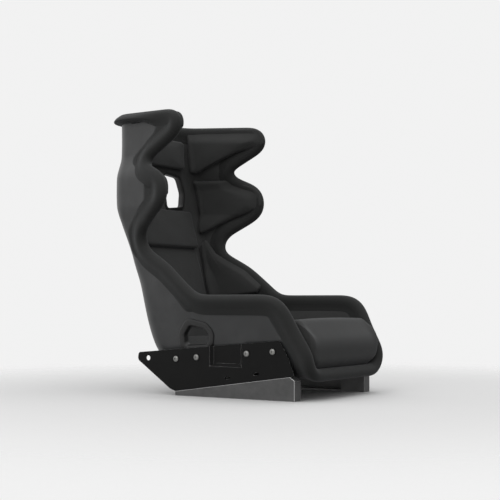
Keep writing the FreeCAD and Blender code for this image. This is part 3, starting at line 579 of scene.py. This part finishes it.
TOP_EDGE_Y, TOP_EDGE_Z = (213, 700), (910, 930)


def edge_run():
    """Points of the edge, the directions out from it along the skin, and those square to the skin."""
    profile = rounded(EDGE, closed=False, step=5.0)
    start = np.argmax(profile[:, 0] < BACK_Y)
    stop = np.argmax((profile[:, 0] < FRONT_Y + 0.5) & (profile[:, 1] < 400))
    profile = blurred(profile[start:stop + 1], 2.5, "edge")
    head_corner_y = 243
    side = profile[np.argmax(profile[:, 0] < head_corner_y):]
    place, along = locate(side[:, 0], side[:, 1], (1, 2), 1.3)
    top = np.linspace(0, along[0], 70)[:-1]
    row = np.full(len(top), 0.22)
    for _ in range(12):
        y, z = base(row, top)[:, 1:].T
        dz = (base(row + 0.01, top)[:, 2] - z) / 0.01
        row = row + (np.interp(y, TOP_EDGE_Y, TOP_EDGE_Z) - z) / dz
    lip_along = np.linspace(along[-1], 0, 60)[1:]
    lip_place = np.full(len(lip_along), float(LAST))
    place = np.concatenate([row, place, lip_place])
    along = np.concatenate([top, along, lip_along])
    both = resampled(np.hstack(skin(place, along)), count=420)
    mirror = both[::-1].copy()
    mirror[:, [0, 3]] *= -1
    loop = np.vstack([both[:-1], mirror[:-1]])
    loop = resampled(loop, closed=True, count=880)
    loop = blurred(loop, 3.0)
    pts, normals = loop[:, :3], loop[:, 3:]
    tangent = np.roll(pts, -1, 0) - np.roll(pts, 1, 0)
    tangent /= np.linalg.norm(tangent, axis=1, keepdims=True)
    normals -= tangent * (normals * tangent).sum(1, keepdims=True)
    normals /= np.linalg.norm(normals, axis=1, keepdims=True)
    return pts, np.cross(tangent, normals), normals


EDGE_PTS, EDGE_BESIDE, EDGE_NORMAL = edge_run()
EDGE_SIDE = np.vstack([rounded(EDGE, closed=False, step=5.0)[:, :2], [(700, -60)]])


def within_edge(points, inset):
    """Skin points on the seat's side of the edge by at least this much."""
    d = distance_to(points, EDGE_PTS)
    return inside(points[:, 1:], EDGE_SIDE) & (d > inset)


# Each opening's outline, the axes that it is drawn on, and the span of along that it lies in
OPENINGS = {
    "belt": (rounded(BELT_SLOT, step=3.0), (0, 2), 0.0, 1.5),
    "lap": (rounded(LAP_OPENING, step=3.0), (1, 2), 1.2, WING_END),
    "crotch": (rounded(CROTCH, step=3.0), (0, 1), -1.0, 1.0),
}


def clear_of_openings(points, along, grow):
    """Which skin points lie outside every opening by more than this."""
    ok = np.ones(len(points), bool)
    mirrored = points.copy()
    mirrored[:, 0] = np.abs(mirrored[:, 0])
    for outline, axes, low, high in OPENINGS.values():
        near = (np.abs(along) >= low) & (np.abs(along) <= high)
        if axes == (0, 1):
            near &= points[:, 2] < 150
        if axes == (0, 2):
            near &= points[:, 1] > 380
        ok &= ~(near & (signed(mirrored[:, axes], outline) > -grow))
    return ok


# Shell, lining and outer fabric


def inside_by(inset):
    """Keeps the skin that lies this far inside the edge and is clear of the openings' sleeves."""
    def keep(points, along):
        return within_edge(points, inset) & clear_of_openings(points, along, 4.0)
    return keep


shell = skin_sheet("shell_skin", SHELL_FINISH, 0.4, SHELL, inside_by(9), 5.0)
place_piece(shell, "shell_composite", "seat_shell")

lining = skin_sheet("lining", COVER_FABRIC, -COVER, -1.0, inside_by(18), 5.0)
place_piece(lining, "seat_fabric", "seat_cover")

FABRIC_OUTLINE = np.vstack([rounded(FABRIC_EDGE, closed=False, step=4.0), [(-700, -60), (-700, 1000)]])


def fabric_height(points):
    """Distance of the fabric's face from the skin; its rim runs down into the shell."""
    d = signed(points[:, 1:], FABRIC_OUTLINE)
    return SHELL - 1.2 + (FABRIC - SHELL + 1.2) * smooth01((d + 5) / 17)


def fabric_keep(points, along):
    covered = signed(points[:, 1:], FABRIC_OUTLINE) > -6
    return within_edge(points, 16) & covered & clear_of_openings(points, along, 24.0)


outer = skin_sheet("outer_fabric_l", EDGE_FABRIC, 0.8, fabric_height, fabric_keep, 3.2, low=0.9)
place_piece(outer, "outer_fabric", "outer_fabric_left")
outer_right = flipped(outer, "outer_fabric_r")
place_piece(outer_right, "outer_fabric", "outer_fabric_right")

# Padded edge and brim


def curve_through(control, count):
    """Catmull-Rom curve through rows of control points, for every frame at once."""
    before, after = 2 * control[:, :1] - control[:, 1:2], 2 * control[:, -1:] - control[:, -2:-1]
    padded = np.concatenate([before, control, after], 1)
    at = np.linspace(0, control.shape[1] - 1, count)
    i = np.minimum(at.astype(int), control.shape[1] - 2)
    t = (at - i)[None, :, None]
    p0, p1, p2, p3 = padded[:, i], padded[:, i + 1], padded[:, i + 2], padded[:, i + 3]
    return 0.5 * (2 * p1 + (p2 - p0) * t + (2 * p0 - 5 * p1 + 4 * p2 - p3) * t ** 2
                  + (3 * p1 - p0 - 3 * p2 + p3) * t ** 3)


def edge_roll():
    """Closed sections of the padded edge along its run; behind the head they turn into the brim."""
    r = ROLL
    inner = [(-44, -9.5), (-36, -12.4), (-28, -13.6), (-21, -15.3), (-10, -18.6), (0, -r),
             (0.54 * r, -0.86 * r), (0.88 * r, -0.48 * r), (r, 0)]
    plain = [(0.88 * r, 0.48 * r), (0.54 * r, 0.86 * r), (0.15 * r, 0.99 * r), (-0.3 * r, 0.93 * r),
             (-0.75 * r, 0.78 * r), (-24, 12.2), (-34, 9.6), (-44, 7.4)]
    lip = [(0.88 * r, 0.48 * r), (0.62 * r, 0.88 * r), (0.32 * r, r + 5.5), (0.02 * r, r + BRIM - 2.2),
           (-0.28 * r, r + BRIM + 0.4), (-0.44 * r, r + BRIM - 2.6), (-0.45 * r, r), (-0.72 * r, 3.0)]
    brim = smooth01((EDGE_PTS[:, 1] - 262) / 130) * (EDGE_PTS[:, 2] > 850)
    brim = blurred(brim, 4.0)[:, None, None]
    control = np.concatenate([np.broadcast_to(inner, (len(brim), len(inner), 2)),
                              (1 - brim) * np.array(plain) + brim * np.array(lip)], 1)
    section = curve_through(control, 64)
    u, v = section[..., :1], section[..., 1:]
    pts = EDGE_PTS[:, None] + EDGE_BESIDE[:, None] * u + EDGE_NORMAL[:, None] * v
    seam_u = -17.0
    seam = np.exp(-((u[..., 0] - seam_u) / 1.3) ** 2) * (v[..., 0] < 0)
    groove = np.exp(-((u[..., 0] - seam_u) / 5.0) ** 2) * (v[..., 0] < 0)
    pts += EDGE_NORMAL[:, None] * (1.5 * seam - 0.5 * groove)[..., None]
    return pts


ROLL_PTS = edge_roll()
ROLL_FACES = grid_faces(*ROLL_PTS.shape[:2], close_rows=True)
edge = new_object("padded_edge", ROLL_PTS.reshape(-1, 3), ROLL_FACES, EDGE_FABRIC)
outward(edge)
place_piece(edge, "edge_fabric", "head_edge_roll", "edge_roll_left", "edge_roll_right", "front_edge_roll")

# Rims of the belt openings


def rim(name, opening, profile, low, high):
    """Strip round an opening; profile gives how far out from the opening and how far from the skin."""
    outline, axes = OPENINGS[opening][:2]
    across_middle = axes == (0, 1)
    rows = []
    for grow, distance in profile:
        pts = grown(outline, grow)
        a = np.abs(pts[:, 0]) if across_middle else pts[:, 0]
        row = skin(*locate(a, pts[:, 1], axes, low, high), distance)[0]
        if across_middle:
            row[:, 0] *= np.sign(pts[:, 0])
        rows.append(row)
    faces = grid_faces(len(rows), len(outline), True, True)
    obj = new_object(name, np.stack(rows).reshape(-1, 3), faces, TRIM)
    outward(obj)
    return obj


SLOT_PROFILE = [
    (10.5, -12.3), (10.2, -14.2), (8.6, -15.2), (3.5, -15.4), (0.9, -14.8), (0, -13.4), (0, -5), (0, 3),
    (0.5, 6.8), (2.2, 7.8), (8.6, 7.6), (10.3, 6.7), (10.6, 5.2), (3.2, 4.6), (3.2, -11.6),
]
LAP_PROFILE = [
    (21.5, 5.2), (21.6, 7.0), (20.4, 8.6), (16, 9.6), (9, 9.2), (3.0, 8.0), (0.6, 6.4), (0, 4.0),
    (0, -6), (0, -13.0), (1.0, -14.6), (4.0, -15.2), (7.4, -14.6), (8.0, -12.0), (3.3, -10.5), (3.3, 4.6),
]

belt = rim("belt_rim_l", "belt", SLOT_PROFILE, 0.0, 1.6)
place_piece(belt, "slot_trim_plastic", "belt_slot_trim_left")
place_piece(flipped(belt, "belt_rim_r"), "slot_trim_plastic", "belt_slot_trim_right")
lap = rim("lap_rim_l", "lap", LAP_PROFILE, 1.2, WING_END)
place_piece(lap, "slot_trim_plastic", "lap_bezel_left")
place_piece(flipped(lap, "lap_rim_r"), "slot_trim_plastic", "lap_bezel_right")
place_piece(rim("crotch_rim", "crotch", SLOT_PROFILE, 0.0, 1.2), "slot_trim_plastic", "crotch_slot_trim")

# Pads


def pad_rings(outline, thickness, crown):
    """Rings from a pad's foot, over its rounded edge, to its middle: outline points and heights."""
    t, bulge = thickness, 1.6
    edge_rings = [(-4.0, -2.5), (-1.2, 0.8), (0.3, 0.18 * t), (0.8 * bulge, 0.38 * t), (bulge, 0.55 * t),
                  (0.4 * bulge, 0.74 * t), (-1.6, 0.88 * t), (-4.2, 0.965 * t), (-7.5, 0.99 * t)]
    rings = [(grown(outline, grow), height) for grow, height in edge_rings]
    start = blurred(grown(outline, -9.0), 2.0)
    middle = start.mean(0)
    for share in np.linspace(1, 0, 16):
        rings.append((middle + (start - middle) * share, t + crown * (1 - share ** 2.2)))
    return [(pts, np.full(len(pts), height)) for pts, height in rings]


def skin_pad(name, outline, thickness, axes, low, high, shaped, crown=3.0):
    """Pad on the cover; shaped says its heights. One drawn on x and z lies across the middle."""
    across_middle = axes == (0, 2)
    rows = []
    for pts, heights in pad_rings(outline, thickness, crown):
        a = np.abs(pts[:, 0]) if across_middle else pts[:, 0]
        place, along = locate(a, pts[:, 1], axes, low, high)
        row = skin(place, along, -(COVER + shaped(pts, heights)))[0]
        if across_middle:
            row[:, 0] = pts[:, 0]
        rows.append(row)
    faces = grid_faces(len(rows), len(outline), True)
    obj = new_object(name, np.stack(rows).reshape(-1, 3), faces, PAD_FABRIC)
    outward(obj, merge=True)
    return obj


def fabric_pull(pts, heights):
    """Slight unevenness, as on foam under stretched cloth."""
    wave = np.sin(pts[:, 0] * 0.043 + 1.3) * np.sin(pts[:, 1] * 0.051 + 0.4)
    return heights + 0.9 * wave * np.clip(heights / 20, 0, 1)


def held_within(pts, margin):
    """Points moved inward until they lie this far inside the edge's side outline."""
    probe = 1.5
    for _ in range(3):
        short = np.clip(margin - signed(pts, EDGE_SIDE), 0, None)
        slope = np.stack([signed(pts + step, EDGE_SIDE) - signed(pts - step, EDGE_SIDE)
                          for step in ([probe, 0], [0, probe])], -1)
        slope /= np.maximum(np.linalg.norm(slope, axis=1, keepdims=True), 1e-6)
        pts = pts + slope * short[:, None]
    return pts


def blend_into_edge(start, reach, least):
    """Pad heights that sink to a share near the padded edge, so that the two read as one."""
    def shaped(pts, heights):
        rise = smooth01((signed(pts, EDGE_SIDE) - start) / reach)
        return fabric_pull(pts, heights) * (least + (1 - least) * rise)
    return shaped


def side_pad(name, points, node_name, shaped, margin):
    """The wing pads of both sides. margin is how far inside the edge's side outline they stay."""
    outline = held_within(rounded(points), margin)
    outline = blurred(resampled(outline, step=3.0, closed=True), 1.0)
    pad = skin_pad(name + "_l", outline, WING_PAD_THICKNESS, (1, 2), 1.05, WING_END, shaped)
    for obj, end in ((pad, "_left"), (flipped(pad, name + "_r"), "_right")):
        place_piece(obj, "pad_fabric", node_name + end)


side_pad("head_wing_pad", HEAD_WING_PAD, "head_pad", blend_into_edge(-5, 46, 0.335), -13)
side_pad("shoulder_wing_pad", SHOULDER_WING_PAD, "shoulder_pad", blend_into_edge(-5, 46, 0.335), -13)
side_pad("hip_wing_pad", HIP_WING_PAD, "hip_pad", blend_into_edge(-4, 22, 0.42), -4)


def back_piece(name, node_name, low_z, high_z, half_low, half_high, thickness, radius, crown=3.0):
    corners = [(-half_low, low_z, radius), (half_low, low_z, radius),
               (half_high, high_z, radius), (-half_high, high_z, radius)]
    pad = skin_pad(name, rounded(corners, step=4.0), thickness, (0, 2), 0.0, 2.0, fabric_pull, crown)
    place_piece(pad, "pad_fabric", node_name)


back_piece("head_centre_pad", "head_pad_center", 782, 881, 148, 150, 21.0, 12)
back_piece("upper_back", "upper_back_pad", 486, 624, 158, 174, 26.0, 14, 4.0)
back_piece("lower_back", "lower_back_pad", 216, 485, 158, 159, 8.5, 14, 2.0)

# Seat cushion and the pad behind the crotch slot

PAN_ALONG = np.arange(0.0, 2.75, 0.05)
PAN = skin(*np.meshgrid(np.arange(8.0, LAST + 0.16, 0.1), PAN_ALONG, indexing="ij"), -COVER)[0]


def pan_height(x, y):
    """Height of the lining over the pan at x, y."""
    row_x = [np.interp(-y, -PAN[:, j, 1], PAN[:, j, 0]) for j in range(len(PAN_ALONG))]
    row_z = [np.interp(-y, -PAN[:, j, 1], PAN[:, j, 2]) for j in range(len(PAN_ALONG))]
    return float(np.interp(abs(x), row_x, row_z))


def cushion_section(x, shrink):
    """Side section of the thigh cushion at x: y, z, corner radius."""
    top, rear, front = 250.0 - shrink, -66.0 - shrink, -262.0 + shrink
    lip = pan_height(x, -238.0)
    return [
        (front - 12, lip + 29, 17), (front - 18, lip + 88, 60), (front + 43, top, 24),
        (front + 116, top - 11, 70), (rear, top - 48, 20), (rear, pan_height(x, rear) + 1, 3),
        (-120, pan_height(x, -120) + 1, 0), (-238, lip + 1, 4),
    ]


def base_section(x, shrink):
    """Side section of the pad behind the crotch slot at x: y, z, corner radius."""
    top, front = 180.0 - shrink, -6.0 + shrink
    low = pan_height(x, front) + 1
    lift = low - pan_height(0, front)
    return [
        (front, low, 3), (front, top, 22), (150, top - 44, 110), (262, top - 26, 70),
        (318 - shrink - 0.4 * lift, top + 12, 9), (320 - 0.4 * lift, 150 + 0.3 * lift, 3),
        (286 - 0.3 * lift, 110 + 0.8 * lift, 3), (225, 84 + lift, 3),
    ]


def pan_piece(name, node_name, section, half, detail):
    """Cushion through side sections; its ends round off and its fabric dips along the sewn lines."""
    count, turn, end_shrink = 150, 17, 10
    quarter = np.linspace(0, 1, 17) * math.pi / 2
    end_x = half - turn + turn * np.sin(quarter)
    end_shrinks = end_shrink * (1 - np.cos(quarter))
    middle = np.linspace(-(half - turn), half - turn, 61)[1:-1]
    xs = np.concatenate([-end_x[::-1], middle, end_x])
    shrinks = np.concatenate([end_shrinks[::-1], np.zeros(len(middle)), end_shrinks])
    rows = []
    for x, shrink in zip(xs, shrinks):
        flat = rounded(section(float(x), float(shrink)), step=4.0)
        flat = blurred(resampled(flat, closed=True, count=count), 1.2)
        normal = np.roll(flat, -1, 0) - np.roll(flat, 1, 0)
        normal /= np.linalg.norm(normal, axis=1, keepdims=True)
        normal = np.stack([normal[:, 1], -normal[:, 0]], -1) * math.copysign(1, area(flat))
        flat = flat + normal * detail(x / half, flat)[:, None]
        rows.append(np.column_stack([np.full(count, x), flat]))
    verts = np.stack(rows)
    faces = grid_faces(len(rows), count, True)
    caps = []
    flat_verts = verts.reshape(-1, 3)
    extra = []
    for end, base_index in ((0, 0), (-1, (len(rows) - 1) * count)):
        centre = verts[end].mean(0)
        previous = list(range(base_index, base_index + count))
        for share in (0.8, 0.55, 0.3):
            start = len(flat_verts) + len(extra)
            bulge = (1 - share ** 2) * 5 * (1 if end else -1)
            ring = centre + (verts[end] - centre) * share + [bulge, 0, 0]
            extra.extend(ring)
            current = list(range(start, start + count))
            for j in range(count):
                k = (j + 1) % count
                caps.append((previous[j], previous[k], current[k], current[j]))
            previous = current
        start = len(flat_verts) + len(extra)
        extra.append(centre + [6 * (1 if end else -1), 0, 0])
        for j in range(count):
            caps.append((previous[j], previous[(j + 1) % count], start))
    obj = new_object(name, np.vstack([flat_verts, extra]), faces + caps, PAD_FABRIC)
    outward(obj)
    place_piece(obj, "pad_fabric", node_name)


def cushion_detail(u, flat):
    """Crown across, the sewn line behind the front's ridge and the hollow behind that."""
    y, z = flat[:, 0], flat[:, 1]
    top = smooth01((z - 130) / 60)
    crown = 4.0 * (1 - u * u) * top
    seam_y, hollow_y = -196, -150
    seam = -1.8 * np.exp(-((y - seam_y) / 2.4) ** 2) * top
    hollow = -3.0 * np.exp(-((y - hollow_y) / 34) ** 2) * top
    return crown + seam + hollow - 1.0


def base_detail(u, flat):
    """Crown across the pad behind the crotch slot."""
    return 3.0 * (1 - u * u) * smooth01((flat[:, 1] - 110) / 40) - 1.5


pan_piece("cushion", "seat_cushion", cushion_section, 217.0, cushion_detail)
pan_piece("rear_cushion", "seat_base_pad", base_section, 189.0, base_detail)

# Mounts, rails and screws


def bevelled(node_name, name, finish, width, slot):
    """The CAD piece with small flat bevels on its edges, finished in bright metal as a painted highlight
    along them.
    """
    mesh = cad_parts[node_name].data.copy()
    mesh.materials.clear()
    bm = bmesh.new()
    bm.from_mesh(mesh)
    bmesh.ops.remove_doubles(bm, verts=bm.verts, dist=MERGE_DISTANCE)
    bmesh.ops.dissolve_limit(bm, angle_limit=math.radians(1), verts=bm.verts, edges=bm.edges)
    bm.to_mesh(mesh)
    bm.free()
    obj = bpy.data.objects.new(name, mesh)
    bpy.context.scene.collection.objects.link(obj)
    mesh.materials.append(finish)
    mesh.materials.append(EDGE_HIGHLIGHT_METAL)
    modifier = obj.modifiers.new("edges", "BEVEL")
    modifier.width = width * MM
    modifier.segments = 2
    modifier.limit_method = "ANGLE"
    modifier.angle_limit = math.radians(40)
    modifier.harden_normals = True
    modifier.material = 1
    bpy.context.view_layer.update()
    result = bpy.data.meshes.new_from_object(obj.evaluated_get(bpy.context.evaluated_depsgraph_get()))
    obj.modifiers.clear()
    obj.data = result
    result.polygons.foreach_set("use_smooth", [False] * len(result.polygons))
    place_piece(obj, slot, node_name)


for side in ("left", "right"):
    bevelled("side_mount_" + side, "mount_plate_" + side, PAINT, 1.3, "mount_paint")
    bevelled("wedge_rail_" + side, "rail_" + side, RAIL_PAINT, 0.9, "rail_metal")
    spacer_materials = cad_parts["mount_spacers_" + side].data.materials
    spacer_materials.clear()
    spacer_materials.append(STEEL)


def socket_radius(angle, across):
    """Distance from the middle of a hexagon to its side at an angle."""
    step = (angle + math.pi / 6) % (math.pi / 3) - math.pi / 6
    return across / 2 / math.cos(step)


def screws(side):
    """One side's screw heads: domes with a hexagon socket, each turned as it was left."""
    verts, faces = [], []
    profile = [(0.0, 9.5), (0.5, 9.9), (1.6, 9.9), (2.9, 9.3), (4.2, 8.1), (5.2, 6.3), (5.6, 4.8),
               (5.7, 3.9)]
    sockets = [(5.7, 6.2), (5.4, 5.9), (2.9, 5.9)]
    count = 48
    angles = [2 * math.pi * i / count for i in range(count)]
    for y, z in MOUNT_BOLTS:
        start = len(verts)
        twist = rng.uniform(0, math.pi)
        rings = [(x, [r] * count) for x, r in profile]
        rings += [(x, [socket_radius(angle, across) for angle in angles]) for x, across in sockets]
        rings.append((2.6, [0.01] * count))
        for x, radii in rings:
            for angle, r in zip(angles, radii):
                dy, dz = r * math.cos(angle + twist), r * math.sin(angle + twist)
                verts.append((side * (MOUNT_FACE_X + x), y + dy, z + dz))
        faces += [tuple(start + k for k in f) for f in grid_faces(len(rings), count, True)]
    obj = new_object("screws_" + ("l" if side > 0 else "r"), verts, faces, STEEL)
    outward(obj)
    obj.data.set_sharp_from_angle(angle=math.radians(40))
    return obj


place_piece(screws(1), "hardware_steel", "mount_screws_left")
place_piece(screws(-1), "hardware_steel", "mount_screws_right")

# Stage, light and camera


def floor_with_painted_shade():
    """Round floor that fades out towards its rim; its grey middle is a painted wide shadow round the
    seat.
    """
    # The floor's grey is painted shade: darker than the backdrop, it mixes into the clear backdrop from
    # 0.75 to 2.1 m out.
    mat, tree, shader = material("floor_painted_shade", (0.665, 0.665, 0.665), 0.80, Specular_IOR_Level=0.1)
    length = node(tree, "ShaderNodeVectorMath", operation="LENGTH")
    tree.links.new(coordinates(tree), length.inputs[0])
    fade = node(tree, "ShaderNodeMapRange", interpolation_type="SMOOTHSTEP")
    fade.inputs["From Min"].default_value = 0.75
    fade.inputs["From Max"].default_value = 2.1
    tree.links.new(length.outputs["Value"], fade.inputs["Value"])
    clear = node(tree, "ShaderNodeBsdfTransparent")
    mixed = node(tree, "ShaderNodeMixShader")
    for i, output in enumerate((fade.outputs["Result"], shader.outputs[0], clear.outputs[0])):
        tree.links.new(output, mixed.inputs[i])
    tree.links.new(mixed.outputs[0], tree.nodes["Material Output"].inputs["Surface"])
    count = 96
    around = np.linspace(0, 2 * math.pi, count + 1)[:-1]
    level = np.full(count, -0.2)
    rings = [np.stack([r * np.cos(around), r * np.sin(around), level], -1) for r in (1, 700, 1400, 2100)]
    faces = grid_faces(len(rings), count, True) + [tuple(range(count))]
    floor = new_object("floor", np.vstack(rings), faces, mat, False)
    floor.visible_diffuse = False


def soft_sky():
    """Light from a pale sky, brightest above and behind; the camera sees a plain backdrop."""
    world = bpy.data.worlds.new("studio")
    bpy.context.scene.world = world
    world.use_nodes = True
    tree = world.node_tree
    source = node(tree, "ShaderNodeTexCoord")
    toward = node(tree, "ShaderNodeVectorMath", operation="DOT_PRODUCT")
    toward.inputs[1].default_value = (-0.12, 0.30, 0.94)
    tree.links.new(source.outputs["Generated"], toward.inputs[0])
    sky = ramp(tree, math_node(tree, "MULTIPLY_ADD", toward.outputs["Value"], 0.5, 0.5),
               [(0.22, (0.10, 0.10, 0.10)), (0.50, (0.66, 0.66, 0.66)), (0.85, (1.0, 1.0, 1.0))])
    backdrop = node(tree, "ShaderNodeRGB")
    backdrop.outputs[0].default_value = (0.886, 0.886, 0.886, 1)
    seen = node(tree, "ShaderNodeLightPath")
    pick = node(tree, "ShaderNodeMix", data_type="RGBA")
    tree.links.new(seen.outputs["Is Camera Ray"], pick.inputs["Factor"])
    tree.links.new(sky, pick.inputs[6])
    tree.links.new(backdrop.outputs[0], pick.inputs[7])
    tree.links.new(pick.outputs[2], tree.nodes["Background"].inputs["Color"])


def soft_box(name, at, toward, size, power):
    data = bpy.data.lights.new(name, "AREA")
    data.energy = power
    data.size = size
    lamp = bpy.data.objects.new(name, data)
    lamp.location = at
    lamp.rotation_euler = (Vector(toward) - Vector(at)).to_track_quat("-Z", "Y").to_euler()
    bpy.context.scene.collection.objects.link(lamp)


def photo_camera():
    """Camera at the photo's angle, distance and focal length."""
    turn, pitch = math.radians(56.78), math.radians(2.53)
    view = Vector((math.sin(turn) * math.cos(pitch), math.cos(turn) * math.cos(pitch), math.sin(pitch)))
    right = Vector((math.cos(turn), -math.sin(turn), 0))
    up = right.cross(view)
    data = bpy.data.cameras.new("camera")
    data.lens = 82.615
    data.sensor_width = 36.0
    camera = bpy.data.objects.new("camera", data)
    matrix = Matrix.Identity(4)
    for i in range(3):
        matrix[i][0], matrix[i][1], matrix[i][2] = right[i], up[i], -view[i]
    matrix.translation = Vector((-3.2172, -2.0121, 0.3049))
    camera.matrix_world = matrix
    bpy.context.scene.collection.objects.link(camera)
    bpy.context.scene.camera = camera


floor_with_painted_shade()
soft_sky()
soft_box("overhead", (-0.1, -0.2, 3.2), (0, 0.1, 0.4), 2.6, 20)
soft_box("side_box", (-2.8, -0.3, 2.4), (0, 0.1, 0.5), 1.6, 14)
photo_camera()
bpy.context.scene.view_settings.view_transform = "Standard"

bpy.context.view_layer.update()
